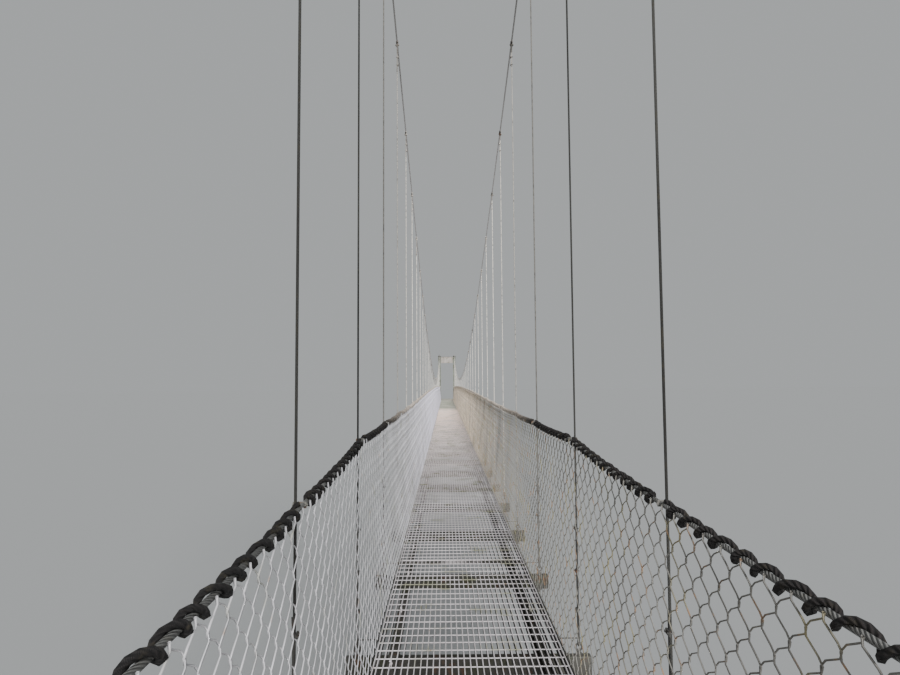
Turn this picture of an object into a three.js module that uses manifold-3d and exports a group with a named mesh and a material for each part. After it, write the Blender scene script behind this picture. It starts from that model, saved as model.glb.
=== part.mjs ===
// Rope suspension footbridge as a half-size model, in millimetres: every length is half the real
// bridge's. X runs across the deck, Y along it from the tall near tower to the low far one, and Z
// is up from the ground that the abutments and anchor blocks stand on.

import * as THREE from 'three';
import { mergeVertices } from 'three/addons/utils/BufferGeometryUtils.js';
import Module from 'manifold-3d';

const wasm = await Module();
wasm.setup();

// Clearance left where two pieces touch, and how far the solids of one piece run into each other.
const GAP = 0.3;
const WELD = 1;

// Sides of the polygons that stand for ropes and for turned steel.
const ROPE_SIDES = 6;
const ROD_SIDES = 8;

// Span: equal bays between hangers, grouped in sections of the length that is made and hung at once.
const BAY = 750;
const BAYS_PER_SECTION = 12;
const SECTION_COUNT = 3;
const BAY_COUNT = BAYS_PER_SECTION * SECTION_COUNT;
const SPAN = BAY * BAY_COUNT;

// Deck: steel bar grating on two stringers, which stand on square-tube cross-beams.
const DECK_TOP = 500;
const GRATING_WIDTH = 457;
const GRATING_DEPTH = 15;
const STRINGER_OFFSET = 190;
const STRINGER_WIDTH = 20;
const STRINGER_DEPTH = 40;
const BEAM_LENGTH = 640;
const BEAM_WIDTH = 25;
const BEAM_DEPTH = 50;
const END_BEAM_FROM_TOWER = 150;

// Sides: hangers, and a handrail on their inner side. The mesh leans in from the rail to the toe
// cable, which runs along the deck's edge.
const SIDE_OFFSET = 290;
const HANGER_WIDTH = 4.8;
const RAIL_RADIUS = 8;
const RAIL_SAG = 6;
// The rail's height above the deck at some of the hangers, by bay. It rises or falls evenly between.
const RAIL_HEIGHTS = [
  [0, 450], [1, 452], [2, 467], [3, 505], [6, 512], [12, 557], [20, 585], [28, 575], [36, 530]];
const MESH_THICKNESS = 5;
const MESH_ROWS = 4;
const MESH_MARGIN = 3;

// Main cables: a parabola over the span, an arc over each saddle, and a straight backstay.
const CABLE_RADIUS = 4;
const CABLE_LOW_Y = 16680;
const CABLE_LOW_HEIGHT = 775;
const CABLE_CURVE = 9.6e-6;
const SADDLE_RADIUS = 150;
const SADDLE_ARC_STEPS = 8;
const SADDLE_PROFILE_STEPS = 6;
const BACKSTAY_SLOPE = THREE.MathUtils.degToRad(38);

// Saddles: a grooved casting on a base plate, bolted on each leg's cap.
const SADDLE_LENGTH = 176;
const SADDLE_WIDTH = 19;
const SADDLE_CROWN = 50;
const SADDLE_CHEEK = 10;
const SEAT_RADIUS = SADDLE_RADIUS - CABLE_RADIUS - 2 * GAP;
const SADDLE_BASE_WIDTH = 80;
const SADDLE_BASE_THICKNESS = 8;

// Tower legs: two upright channels, toes facing, tied by batten plates.
const LEG_WIDTH = 100;
const LEG_DEPTH = 68;
const CHANNEL_FLANGE = 35;
const BATTEN_HEIGHT = 90;
const BATTEN_PITCH = 190;
const BASE_PLATE_WIDTH = 150;
const BASE_PLATE_THICKNESS = 12;
const CAP_PLATE_WIDTH = 112;
const CAP_PLATE_THICKNESS = 8;

// Beams and bracing between the legs of a tower.
const TOP_BEAM_DEPTH = 250;
const TOP_BEAM_WIDTH = 50;
const TOP_BEAM_DROP = 20;
const PORTAL_BEAM_DEPTH = 100;
const PORTAL_CLEAR_HEIGHT = 1300;
const BEAM_PLATE = 6;
const BRACE_HEIGHT = 24;
const BRACE_THICKNESS = 8;

// Concrete: a stepped abutment under each tower and one anchor block behind it.
const CONCRETE_WIDTH = 900;
const ABUTMENT_FRONT = 225;
const LANDING_EDGE = 90;
const LANDING_LENGTH = 600;
const ANCHOR_LENGTH = 900;
const ANCHOR_HEIGHT = 500;
const ANCHOR_FACE = 260;

// Anchor rods: a bearing plate and nut on the block's face, a turnbuckle and the cable's socket.
const ROD_PLATE_WIDTH = 110;
const ROD_PLATE_THICKNESS = 10;
const ROD_RADIUS = 8;
const ROD_NUT_RADIUS = 14;
const ROD_NUT_TOP = 26;
const TURNBUCKLE_RADIUS = 13;
const TURNBUCKLE_START = 110;
const TURNBUCKLE_END = 250;
const SOCKET_RADIUS = 10;
const ROD_LENGTH = 330;

// Heights and lines worked out from the sizes above.
const TOE_BOTTOM = DECK_TOP - GRATING_DEPTH;
const STRINGER_TOP = TOE_BOTTOM - GAP;
const BEAM_TOP = STRINGER_TOP - STRINGER_DEPTH;
const SHELF_TOP = BEAM_TOP - BEAM_DEPTH - GAP;
const RAIL_OFFSET = SIDE_OFFSET - HANGER_WIDTH / 2 - GAP - RAIL_RADIUS;
const LEG_FACE = LEG_DEPTH / 2;
const LEG_INNER = SIDE_OFFSET - LEG_WIDTH / 2;
const TOE_OFFSET = LEG_INNER - GAP - HANGER_WIDTH / 2;
const TOE_TOP = TOE_BOTTOM + HANGER_WIDTH;
const MESH_BOTTOM = TOE_TOP + GAP;
const SIDES = [['left', -1], ['right', 1]];

const materials = {
  galvanised: { color: 0xa9a294, roughness: 0.55, metalness: 0.7 },
  frameSteel: { color: 0x77756c, roughness: 0.6, metalness: 0.6 },
  wireRope: { color: 0xa4a39c, roughness: 0.5, metalness: 0.7 },
  lacedRail: { color: 0x3b322a, roughness: 0.8, metalness: 0.1 },
  meshWire: { color: 0xc9c6bb, roughness: 0.5, metalness: 0.6 },
  towerSteel: { color: 0x8d8f83, roughness: 0.6, metalness: 0.5 },
  concrete: { color: 0x9b988c, roughness: 0.95, metalness: 0 },
};

// Keeps a place on a route from falling just short of the point that it is at.
const ROUNDING = 1e-9;

// A route through given points, sampled at exactly those points when a section is swept along it.
class Route extends THREE.Curve {
  constructor(points) {
    super();
    this.points = points;
  }

  getPoint(t, target = new THREE.Vector3()) {
    const place = t * (this.points.length - 1);
    const index = Math.min(Math.floor(place + ROUNDING), this.points.length - 2);
    return target.lerpVectors(this.points[index], this.points[index + 1], place - index);
  }

  getPointAt(u, target) {
    return this.getPoint(u, target);
  }

  getTangentAt(u, target = new THREE.Vector3()) {
    const last = this.points.length - 1;
    const index = Math.round(u * last);
    const stretch = (from, to) => this.points[to].clone().sub(this.points[from]).normalize();
    target.set(0, 0, 0);
    if (index > 0) target.add(stretch(index - 1, index));
    if (index < last) target.add(stretch(index, index + 1));
    return target.normalize();
  }
}

function roundSection(radius, sides) {
  const corners = Array.from({ length: sides }, (_, i) => {
    const angle = (2 * Math.PI * (i + 0.5)) / sides;
    return new THREE.Vector2(radius * Math.cos(angle), radius * Math.sin(angle));
  });
  return new THREE.Shape(corners);
}

function sweep(points, radius, sides) {
  const extrudePath = new Route(points);
  const options = { steps: points.length - 1, bevelEnabled: false, extrudePath };
  return new THREE.ExtrudeGeometry(roundSection(radius, sides), options);
}

// A box from its lowest corner to its highest one.
function box(low, high) {
  const size = high.map((value, axis) => value - low[axis]);
  const middle = high.map((value, axis) => (value + low[axis]) / 2);
  return new THREE.BoxGeometry(...size).translate(...middle);
}

function extrude(corners, depth, holes = []) {
  const toPoints = (outline) => outline.map(([a, b]) => new THREE.Vector2(a, b));
  const shape = new THREE.Shape(toPoints(corners));
  shape.holes = holes.map((outline) => new THREE.Path(toPoints(outline)));
  return new THREE.ExtrudeGeometry(shape, { depth, bevelEnabled: false });
}

function rectangle(x0, y0, x1, y1) {
  return [[x0, y0], [x1, y0], [x1, y1], [x0, y1]];
}

// A profile drawn in Y and Z, extruded across the bridge from -width / 2 to width / 2.
function prismAcross(corners, width) {
  const turn = new THREE.Matrix4().makeBasis(
    new THREE.Vector3(0, 1, 0), new THREE.Vector3(0, 0, 1), new THREE.Vector3(1, 0, 0));
  return extrude(corners, width).applyMatrix4(turn).translate(-width / 2, 0, 0);
}

// A profile drawn in X and Z, extruded along the bridge from -depth / 2 to depth / 2.
function prismAlong(corners, depth, holes = []) {
  const turn = new THREE.Matrix4().makeBasis(
    new THREE.Vector3(1, 0, 0), new THREE.Vector3(0, 0, 1), new THREE.Vector3(0, -1, 0));
  return extrude(corners, depth, holes).applyMatrix4(turn).translate(0, depth / 2, 0);
}

function toSolid(geometry) {
  const bare = geometry.clone();
  bare.deleteAttribute('normal');
  bare.deleteAttribute('uv');
  const merged = mergeVertices(bare);
  return new wasm.Manifold(new wasm.Mesh({
    numProp: 3,
    vertProperties: new Float32Array(merged.attributes.position.array),
    triVerts: new Uint32Array(merged.index.array),
  }));
}

function fromSolid(solid) {
  const { vertProperties, triVerts } = solid.getMesh();
  const geometry = new THREE.BufferGeometry();
  geometry.setAttribute('position', new THREE.BufferAttribute(vertProperties, 3));
  geometry.setIndex(new THREE.BufferAttribute(triVerts, 1));
  geometry.computeVertexNormals();
  return geometry;
}

function fuse(geometries) {
  return fromSolid(geometries.map(toSolid).reduce((sum, solid) => sum.add(solid)));
}

function cut(geometry, tool) {
  return fromSolid(toSolid(geometry).subtract(toSolid(tool)));
}

function piece(name, geometry, finish) {
  const mesh = new THREE.Mesh(geometry, new THREE.MeshStandardMaterial(materials[finish]));
  mesh.name = name;
  return mesh;
}

// Main cable

function cableHeight(y) {
  return DECK_TOP + CABLE_LOW_HEIGHT + CABLE_CURVE * (y - CABLE_LOW_Y) ** 2;
}

function cableSlope(y) {
  return 2 * CABLE_CURVE * (y - CABLE_LOW_Y);
}

// Where the cable's arc over a tower has its centre, and where its backstay starts and lands.
// Distances out are measured from the tower's line, away from the span.
function cableOver(towerY, inward) {
  const spanAngle = Math.atan(Math.abs(cableSlope(towerY)));
  const arcStartY = towerY + inward * SADDLE_RADIUS * Math.sin(spanAngle);
  const centreZ = cableHeight(arcStartY) - SADDLE_RADIUS * Math.cos(spanAngle);
  const backstayOut = SADDLE_RADIUS * Math.sin(BACKSTAY_SLOPE);
  const backstayTop = centreZ + SADDLE_RADIUS * Math.cos(BACKSTAY_SLOPE);
  const anchorZ = ANCHOR_HEIGHT - (ANCHOR_FACE / 2) * Math.cos(BACKSTAY_SLOPE);
  const anchorOut = backstayOut + (backstayTop - anchorZ) / Math.tan(BACKSTAY_SLOPE);
  return { towerY, inward, spanAngle, centreZ, anchorZ, anchorOut };
}

const near = { name: 'near', ...cableOver(0, 1) };
const far = { name: 'far', ...cableOver(SPAN, -1) };

// From the socket at the anchor to the point where the arc over the saddle runs into the span.
function endRoute(end, x) {
  const reach = ROD_LENGTH + GAP;
  const points = [new THREE.Vector3(
    x,
    end.towerY - end.inward * (end.anchorOut - reach * Math.cos(BACKSTAY_SLOPE)),
    end.anchorZ + reach * Math.sin(BACKSTAY_SLOPE))];
  for (let i = 0; i <= SADDLE_ARC_STEPS; i += 1) {
    const angle = THREE.MathUtils.lerp(-BACKSTAY_SLOPE, end.spanAngle, i / SADDLE_ARC_STEPS);
    points.push(new THREE.Vector3(
      x,
      end.towerY + end.inward * SADDLE_RADIUS * Math.sin(angle),
      end.centreZ + SADDLE_RADIUS * Math.cos(angle)));
  }
  return points;
}

function mainCable(side, sign) {
  const x = sign * SIDE_OFFSET;
  const hangerPoints = [];
  for (let bay = 1; bay < BAY_COUNT; bay += 1) {
    hangerPoints.push(new THREE.Vector3(x, bay * BAY, cableHeight(bay * BAY)));
  }
  const route = [...endRoute(near, x), ...hangerPoints, ...endRoute(far, x).reverse()];
  return piece(`main_cable_${side}`, sweep(route, CABLE_RADIUS, ROPE_SIDES), 'wireRope');
}

// Saddle, drawn about its cable's arc centre. The groove is cut at the arc's inner radius.
function saddleGeometry() {
  const half = SADDLE_LENGTH / 2;
  const floor = SEAT_RADIUS - SADDLE_CROWN;
  const pastEnd = half + WELD;
  const clearOfCheek = SEAT_RADIUS + 2 * SADDLE_CHEEK;
  const arc = (radius, reach) => Array.from({ length: SADDLE_PROFILE_STEPS + 1 }, (_, i) => {
    const y = THREE.MathUtils.lerp(reach, -reach, i / SADDLE_PROFILE_STEPS);
    return [y, Math.sqrt(radius ** 2 - y ** 2)];
  });
  const body = [[-half, floor], [half, floor], ...arc(SEAT_RADIUS + SADDLE_CHEEK, half)];
  const groove = [...arc(SEAT_RADIUS, pastEnd), [-pastEnd, clearOfCheek], [pastEnd, clearOfCheek]];
  const baseHalf = SADDLE_BASE_WIDTH / 2;
  const base = box(
    [-baseHalf, -half, floor - SADDLE_BASE_THICKNESS], [baseHalf, half, floor + WELD]);
  const casting = fuse([prismAcross(body, SADDLE_WIDTH), base]);
  return cut(casting, prismAcross(groove, 2 * (CABLE_RADIUS + 2 * GAP)));
}

const SADDLE_BOTTOM = SEAT_RADIUS - SADDLE_CROWN - SADDLE_BASE_THICKNESS;

// Tower, drawn with its line at Y = 0 and the span towards +Y

// The first batten is at the deck's edge, where the mesh and the toe cable's last tie end on it.
function legGeometry(top) {
  const bottom = SHELF_TOP + GAP;
  const capBottom = top - CAP_PLATE_THICKNESS;
  const half = LEG_WIDTH / 2;
  const toe = half - CHANNEL_FLANGE;
  const slots = [];
  let slotBottom = DECK_TOP + BATTEN_HEIGHT / 2;
  while (slotBottom + BATTEN_PITCH < capBottom) {
    const slotTop = slotBottom + BATTEN_PITCH - BATTEN_HEIGHT;
    slots.push(rectangle(-toe, slotBottom, toe, slotTop));
    slotBottom += BATTEN_PITCH;
  }
  const shaft = prismAlong(rectangle(-half, bottom, half, capBottom), LEG_DEPTH, slots);
  const baseHalf = BASE_PLATE_WIDTH / 2;
  const capHalf = CAP_PLATE_WIDTH / 2;
  return fuse([
    shaft,
    box([-baseHalf, -baseHalf, bottom], [baseHalf, baseHalf, bottom + BASE_PLATE_THICKNESS]),
    box([-capHalf, -capHalf, capBottom - WELD], [capHalf, capHalf, top])]);
}

// An I-section beam between the legs.
function crossBeamGeometry(bottom, depth) {
  const half = TOP_BEAM_WIDTH / 2;
  const web = BEAM_PLATE / 2;
  const top = bottom + depth;
  const section = [
    [-half, bottom], [half, bottom], [half, bottom + BEAM_PLATE], [web, bottom + BEAM_PLATE],
    [web, top - BEAM_PLATE], [half, top - BEAM_PLATE], [half, top], [-half, top],
    [-half, top - BEAM_PLATE], [-web, top - BEAM_PLATE], [-web, bottom + BEAM_PLATE],
    [-half, bottom + BEAM_PLATE]];
  return prismAcross(section, 2 * (LEG_INNER - GAP));
}

// Two crossed pairs of flat bars, one above the other, with a strut between them.
function bracingGeometry(bottom, top) {
  const end = LEG_INNER - GAP;
  const middle = (bottom + top) / 2;
  const half = BRACE_HEIGHT / 2;
  const bar = (from, to) => prismAlong(
    [[-end, from - half], [end, to - half], [end, to + half], [-end, from + half]], BRACE_THICKNESS);
  const low = bottom + half + GAP;
  const high = top - half - GAP;
  return fuse([bar(low, middle), bar(middle, low), bar(middle, middle), bar(middle, high),
    bar(high, middle)]);
}

function tower(end) {
  const parts = [];
  const legTop = end.centreZ + SADDLE_BOTTOM - GAP;
  for (const [side, sign] of SIDES) {
    const x = sign * SIDE_OFFSET;
    const leg = piece(`${end.name}_tower_leg_${side}`, legGeometry(legTop), 'towerSteel');
    leg.position.x = x;
    const saddle = piece(`${end.name}_saddle_${side}`, saddleGeometry(), 'frameSteel');
    saddle.position.set(x, 0, end.centreZ);
    parts.push(leg, saddle);
  }
  const topBeamBottom = legTop - TOP_BEAM_DROP - TOP_BEAM_DEPTH;
  parts.push(piece(
    `${end.name}_tower_top_beam`, crossBeamGeometry(topBeamBottom, TOP_BEAM_DEPTH), 'towerSteel'));
  const portalBottom = DECK_TOP + PORTAL_CLEAR_HEIGHT;
  const portalTop = portalBottom + PORTAL_BEAM_DEPTH;
  if (topBeamBottom > portalTop + PORTAL_CLEAR_HEIGHT) {
    parts.push(
      piece(`${end.name}_tower_portal_beam`, crossBeamGeometry(portalBottom, PORTAL_BEAM_DEPTH),
        'towerSteel'),
      piece(`${end.name}_tower_bracing`, bracingGeometry(portalTop, topBeamBottom), 'towerSteel'));
  }
  return parts;
}

// Concrete and anchorage, drawn as the tower is, with the land towards -Y

function abutmentGeometry() {
  const back = -LANDING_EDGE - LANDING_LENGTH;
  return prismAcross([
    [back, 0], [ABUTMENT_FRONT, 0], [ABUTMENT_FRONT, SHELF_TOP], [-LANDING_EDGE, SHELF_TOP],
    [-LANDING_EDGE, DECK_TOP], [back, DECK_TOP]], CONCRETE_WIDTH);
}

// The face that the rods leave is square to the backstay.
function anchorBlockGeometry(end) {
  const frontY = -end.anchorOut + (ANCHOR_FACE / 2) * Math.sin(BACKSTAY_SLOPE);
  const shoulderZ = ANCHOR_HEIGHT - ANCHOR_FACE * Math.cos(BACKSTAY_SLOPE);
  const shoulderY = frontY - ANCHOR_FACE * Math.sin(BACKSTAY_SLOPE);
  const back = frontY - ANCHOR_LENGTH;
  return prismAcross([
    [back, 0], [frontY, 0], [frontY, shoulderZ], [shoulderY, ANCHOR_HEIGHT],
    [back, ANCHOR_HEIGHT]], CONCRETE_WIDTH);
}

// Drawn standing on Z = 0, with the cable's end at the top.
function anchorRodGeometry() {
  const steps = [
    [0, GAP], [ROD_NUT_RADIUS, GAP], [ROD_NUT_RADIUS, ROD_NUT_TOP], [ROD_RADIUS, ROD_NUT_TOP],
    [ROD_RADIUS, TURNBUCKLE_START], [TURNBUCKLE_RADIUS, TURNBUCKLE_START],
    [TURNBUCKLE_RADIUS, TURNBUCKLE_END], [SOCKET_RADIUS, TURNBUCKLE_END],
    [SOCKET_RADIUS, ROD_LENGTH], [0, ROD_LENGTH]];
  const profile = steps.map(([radius, height]) => new THREE.Vector2(radius, height));
  const rod = new THREE.LatheGeometry(profile, ROD_SIDES).rotateX(Math.PI / 2);
  const half = ROD_PLATE_WIDTH / 2;
  return fuse([rod, box([-half, -half, GAP], [half, half, GAP + ROD_PLATE_THICKNESS])]);
}

function bridgeEnd(end) {
  const group = new THREE.Group();
  group.add(...tower(end));
  group.add(piece(`${end.name}_abutment`, abutmentGeometry(), 'concrete'));
  group.add(piece(`${end.name}_anchor_block`, anchorBlockGeometry(end), 'concrete'));
  for (const [side, sign] of SIDES) {
    const rod = piece(`${end.name}_anchor_rod_${side}`, anchorRodGeometry(), 'frameSteel');
    rod.position.set(sign * SIDE_OFFSET, -end.anchorOut, end.anchorZ);
    rod.rotation.x = BACKSTAY_SLOPE - Math.PI / 2;
    group.add(rod);
  }
  return group;
}

// Span: a section runs from one joint over a cross-beam to the next. The first and last
// sections end on the abutments.

function sectionOf(index) {
  const firstBay = index * BAYS_PER_SECTION;
  const lastBay = firstBay + BAYS_PER_SECTION;
  return { index, firstBay, lastBay, isFirst: index === 0, isLast: index === SECTION_COUNT - 1 };
}

// A section's fused pieces are drawn about its middle and then moved there.
function sectionMiddle(section) {
  return ((section.firstBay + section.lastBay) * BAY) / 2;
}

// The hangers and cross-beams that belong to a section: the one at its far joint, not its near one.
function hangerLines(section) {
  const lines = [];
  for (let bay = section.firstBay + 1; bay <= section.lastBay; bay += 1) {
    if (bay < BAY_COUNT) lines.push(bay * BAY);
  }
  return lines;
}

// A section's two ends in Y, given how far a piece runs past a tower's line at the bridge's ends
// and past the joint's beam elsewhere.
function sectionEnds(section, pastTower, pastJoint) {
  return [
    section.isFirst ? -pastTower : section.firstBay * BAY + pastJoint + GAP,
    section.isLast ? SPAN + pastTower : section.lastBay * BAY + pastJoint];
}

function grating(section) {
  const half = GRATING_WIDTH / 2;
  const [from, to] = sectionEnds(section, LANDING_EDGE - GAP, 0);
  const slab = box([-half, from, DECK_TOP - GRATING_DEPTH], [half, to, DECK_TOP]);
  return piece(`deck_grating_${section.index + 1}`, slab, 'galvanised');
}

// Cross-beams with the stringers welded on them. Every section ends on a beam, and every section
// but the first starts with the stringers' free ends.
function deckFrame(section) {
  const middle = sectionMiddle(section);
  const inner = STRINGER_OFFSET - STRINGER_WIDTH / 2;
  const outer = STRINGER_OFFSET + STRINGER_WIDTH / 2;
  const half = BEAM_WIDTH / 2;
  const lines = hangerLines(section).map((y) => ({ y: y - middle, reach: BEAM_LENGTH / 2 }));
  const endBeam = (y) => ({ y: y - middle, reach: GRATING_WIDTH / 2 });
  if (section.isFirst) lines.unshift(endBeam(END_BEAM_FROM_TOWER));
  if (section.isLast) lines.push(endBeam(SPAN - END_BEAM_FROM_TOWER));
  const beams = lines.map(({ y, reach }) =>
    box([-reach, y - half, BEAM_TOP - BEAM_DEPTH], [reach, y + half, BEAM_TOP]));

  const joints = lines.map(({ y }) => y);
  if (!section.isFirst) joints.unshift(sectionEnds(section, 0, half)[0] - middle);
  const stringers = joints.slice(1).flatMap((to, i) => [[-outer, -inner], [inner, outer]].map(
    ([x0, x1]) => box([x0, joints[i], BEAM_TOP - WELD], [x1, to, STRINGER_TOP])));

  const frame = piece(
    `deck_frame_${section.index + 1}`, fuse([...beams, ...stringers]), 'frameSteel');
  frame.position.y = middle;
  return frame;
}

// Hangers of one side, from the main cable down to the cross-beams' ends, and the toe cable, held
// by a tie at each hanger and against each tower's leg.
function hangers(section, side, sign) {
  const half = HANGER_WIDTH / 2;
  const middle = sectionMiddle(section);
  const bar = ([inner, outer], y, [z0, z1]) => {
    const [x0, x1] = [sign * inner, sign * outer].sort((a, b) => a - b);
    return box([x0, y - middle - half, z0], [x1, y - middle + half, z1]);
  };
  const lines = hangerLines(section);
  const ropes = lines.map((y) => {
    const slope = Math.abs(cableSlope(y));
    const underside = cableHeight(y) - CABLE_RADIUS * Math.hypot(1, slope) - slope * half;
    return bar([SIDE_OFFSET - half, SIDE_OFFSET + half], y, [BEAM_TOP + GAP, underside - GAP]);
  });
  const [from, to] = sectionEnds(section, -LEG_FACE - GAP, BEAM_WIDTH / 2);
  const tieLines = [...lines];
  if (section.isFirst) tieLines.unshift(from + half);
  if (section.isLast) tieLines.push(to - half);
  const ties = tieLines.map((y) => bar([TOE_OFFSET, SIDE_OFFSET], y, [TOE_BOTTOM, TOE_TOP]));
  const toeEnds = [from, ...lines, to];
  const toes = toeEnds.slice(1).map((end, i) =>
    box([sign * TOE_OFFSET - half, toeEnds[i] - middle, TOE_BOTTOM],
      [sign * TOE_OFFSET + half, end - middle, TOE_TOP]));
  const lattice = piece(
    `hangers_${side}_${section.index + 1}`, fuse([...toes, ...ropes, ...ties]), 'wireRope');
  lattice.position.y = middle;
  return lattice;
}

// The rail hangs a little between the hangers that it is tied to.
function railHeight(y) {
  const bay = y / BAY;
  const next = RAIL_HEIGHTS.findIndex(([at], i) => i > 0 && bay <= at + ROUNDING);
  const [[fromBay, from], [toBay, to]] = RAIL_HEIGHTS.slice(next - 1, next + 1);
  const tied = DECK_TOP + THREE.MathUtils.mapLinear(bay, fromBay, toBay, from, to);
  const inBay = bay % 1;
  return tied - RAIL_SAG * 4 * inBay * (1 - inBay);
}

// The mesh's upper edge, just under the rail.
function meshTop(y) {
  return railHeight(y) - RAIL_RADIUS - GAP;
}

function handrail(side, sign) {
  const x = sign * RAIL_OFFSET;
  const halfBays = Array.from({ length: 2 * BAY_COUNT - 1 }, (_, i) => ((i + 1) * BAY) / 2);
  const route = [LEG_FACE + GAP, ...halfBays, SPAN - LEG_FACE - GAP].map((y) =>
    new THREE.Vector3(x, y, railHeight(y)));
  return piece(`handrail_${side}`, sweep(route, RAIL_RADIUS, ROPE_SIDES), 'lacedRail');
}

// One opening of the mesh's grid, whose rows rise as the rail does from one hanger to the next.
function meshOpening(start, end, row, middle) {
  const corner = (y, line, inward) => {
    const rise = meshTop(y) - RAIL_SAG - MESH_BOTTOM;
    return MESH_BOTTOM + (line * rise) / MESH_ROWS + inward * MESH_MARGIN;
  };
  const [left, right] = [start - middle + MESH_MARGIN, end - middle - MESH_MARGIN];
  return prismAcross([
    [left, corner(start, row, 1)], [right, corner(end, row, 1)],
    [right, corner(end, row + 1, -1)], [left, corner(start, row + 1, -1)]], 2 * MESH_THICKNESS);
}

// The chain-link fabric as a thin leaning sheet whose upper edge follows the rail. A plain grid of
// openings stands for its meshes: one to a bay along it, and a few rows of them.
function sideMesh(section, side, sign) {
  const middle = sectionMiddle(section);
  const [from, to] = sectionEnds(section, -LEG_FACE - GAP, BEAM_WIDTH / 2);
  const halfBays = Array.from({ length: 2 * BAYS_PER_SECTION + 1 }, (_, i) =>
    section.firstBay * BAY + (i * BAY) / 2).filter((y) => y > from + GAP && y < to - GAP);
  const top = [from, ...halfBays, to].map((y) => [y, meshTop(y)]);
  const outline = [[from, MESH_BOTTOM], [to, MESH_BOTTOM], ...top.reverse()];
  const sheet = prismAcross(outline.map(([y, z]) => [y - middle, z]), MESH_THICKNESS);

  const columns = [from, ...hangerLines(section).filter((y) => y < section.lastBay * BAY), to];
  const rows = Array.from({ length: MESH_ROWS }, (_, row) => row);
  const openings = columns.slice(1).flatMap((end, column) =>
    rows.map((row) => meshOpening(columns[column], end, row, middle)));
  const grid = cut(sheet, fuse(openings));

  // The sheet is flat, so where the rail is higher or lower it meets it a little off its middle.
  const tops = columns.map(meshTop);
  const middleTop = (Math.min(...tops) + Math.max(...tops)) / 2;
  const slope = (RAIL_OFFSET - TOE_OFFSET) / (middleTop - MESH_BOTTOM);
  const lean = new THREE.Matrix4().makeShear(0, 0, 0, 0, sign * slope, 0);
  grid.applyMatrix4(lean).translate(sign * (TOE_OFFSET - slope * MESH_BOTTOM), 0, 0);
  const mesh = piece(`side_mesh_${side}_${section.index + 1}`, grid, 'meshWire');
  mesh.position.y = middle;
  return mesh;
}

const bridge = new THREE.Group();

const nearEnd = bridgeEnd(near);
const farEnd = bridgeEnd(far);
farEnd.position.y = SPAN;
farEnd.rotation.z = Math.PI;
// Turning the far end round puts its left pieces on the right, so their names change sides.
farEnd.traverse((node) => {
  const swap = { left: 'right', right: 'left' };
  node.name = node.name.replace(/left|right/, (side) => swap[side]);
});
bridge.add(nearEnd, farEnd);

for (let index = 0; index < SECTION_COUNT; index += 1) {
  const section = sectionOf(index);
  bridge.add(grating(section), deckFrame(section));
  for (const [side, sign] of SIDES) {
    bridge.add(hangers(section, side, sign), sideMesh(section, side, sign));
  }
}
for (const [side, sign] of SIDES) {
  bridge.add(mainCable(side, sign), handrail(side, sign));
}

// The origin is on the ground, under the middle of the whole length.
const blockBack = ANCHOR_LENGTH - (ANCHOR_FACE / 2) * Math.sin(BACKSTAY_SLOPE);
bridge.position.y = (near.anchorOut + blockBack - (SPAN + far.anchorOut + blockBack)) / 2;

export default bridge;
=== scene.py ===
from math import atan, ceil, cos, pi, radians, sin, sqrt

import bmesh
import bpy
from mathutils import Matrix, Vector


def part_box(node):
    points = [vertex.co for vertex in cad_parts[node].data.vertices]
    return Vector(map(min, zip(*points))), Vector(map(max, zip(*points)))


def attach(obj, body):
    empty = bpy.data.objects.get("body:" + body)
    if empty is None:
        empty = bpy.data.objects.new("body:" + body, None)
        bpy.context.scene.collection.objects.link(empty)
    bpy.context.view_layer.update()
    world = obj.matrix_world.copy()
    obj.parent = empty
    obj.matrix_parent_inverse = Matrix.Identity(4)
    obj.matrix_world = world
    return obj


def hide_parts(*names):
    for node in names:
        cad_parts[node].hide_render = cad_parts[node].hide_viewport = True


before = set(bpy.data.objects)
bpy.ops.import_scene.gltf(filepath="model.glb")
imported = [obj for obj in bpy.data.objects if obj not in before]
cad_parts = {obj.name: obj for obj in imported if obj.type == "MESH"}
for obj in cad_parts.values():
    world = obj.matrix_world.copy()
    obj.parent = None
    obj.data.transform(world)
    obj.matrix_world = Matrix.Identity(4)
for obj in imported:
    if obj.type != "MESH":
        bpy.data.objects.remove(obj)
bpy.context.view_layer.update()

# Camera: it stands on the deck just past the near tower, a little left of the middle line and at
# eye height, and looks along the deck to the far tower through a phone's wide lens.

CAMERA_PAST_TOWER = 0.43
CAMERA_LEFT_OF_MIDDLE = 0.055
EYE_ABOVE_DECK = 0.655
LENS = 27.04
PITCH_UP = radians(3.9)
YAW_RIGHT = radians(0.4)
ROLL_CLOCKWISE = radians(0.37)


def middle_of(node):
    low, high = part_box(node)
    return (low + high) / 2


NEAR_Y = middle_of("near_tower_leg_left").y
FAR_Y = middle_of("far_tower_leg_left").y
DECK_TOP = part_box("deck_grating_1")[1].z

camera = bpy.data.objects.new("camera", bpy.data.cameras.new("camera"))
bpy.context.scene.collection.objects.link(camera)
bpy.context.scene.camera = camera
camera.data.lens = LENS
camera.data.clip_start = 0.02
camera.data.clip_end = 300
camera.matrix_world = (
    Matrix.Translation(
        (-CAMERA_LEFT_OF_MIDDLE, NEAR_Y + CAMERA_PAST_TOWER, DECK_TOP + EYE_ABOVE_DECK))
    @ Matrix.Rotation(-YAW_RIGHT, 4, "Z")
    @ Matrix.Rotation(pi / 2 + PITCH_UP, 4, "X")
    @ Matrix.Rotation(-ROLL_CLOCKWISE, 4, "Z"))

# Abutments and anchor blocks: concrete cast in board forms, with chamfered edges. Each keeps the
# marks of its boards, some air holes, and the dark stain that the wet ground leaves on it.

CHAMFER = 0.009
BOARD_HEIGHT = 0.075


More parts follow.
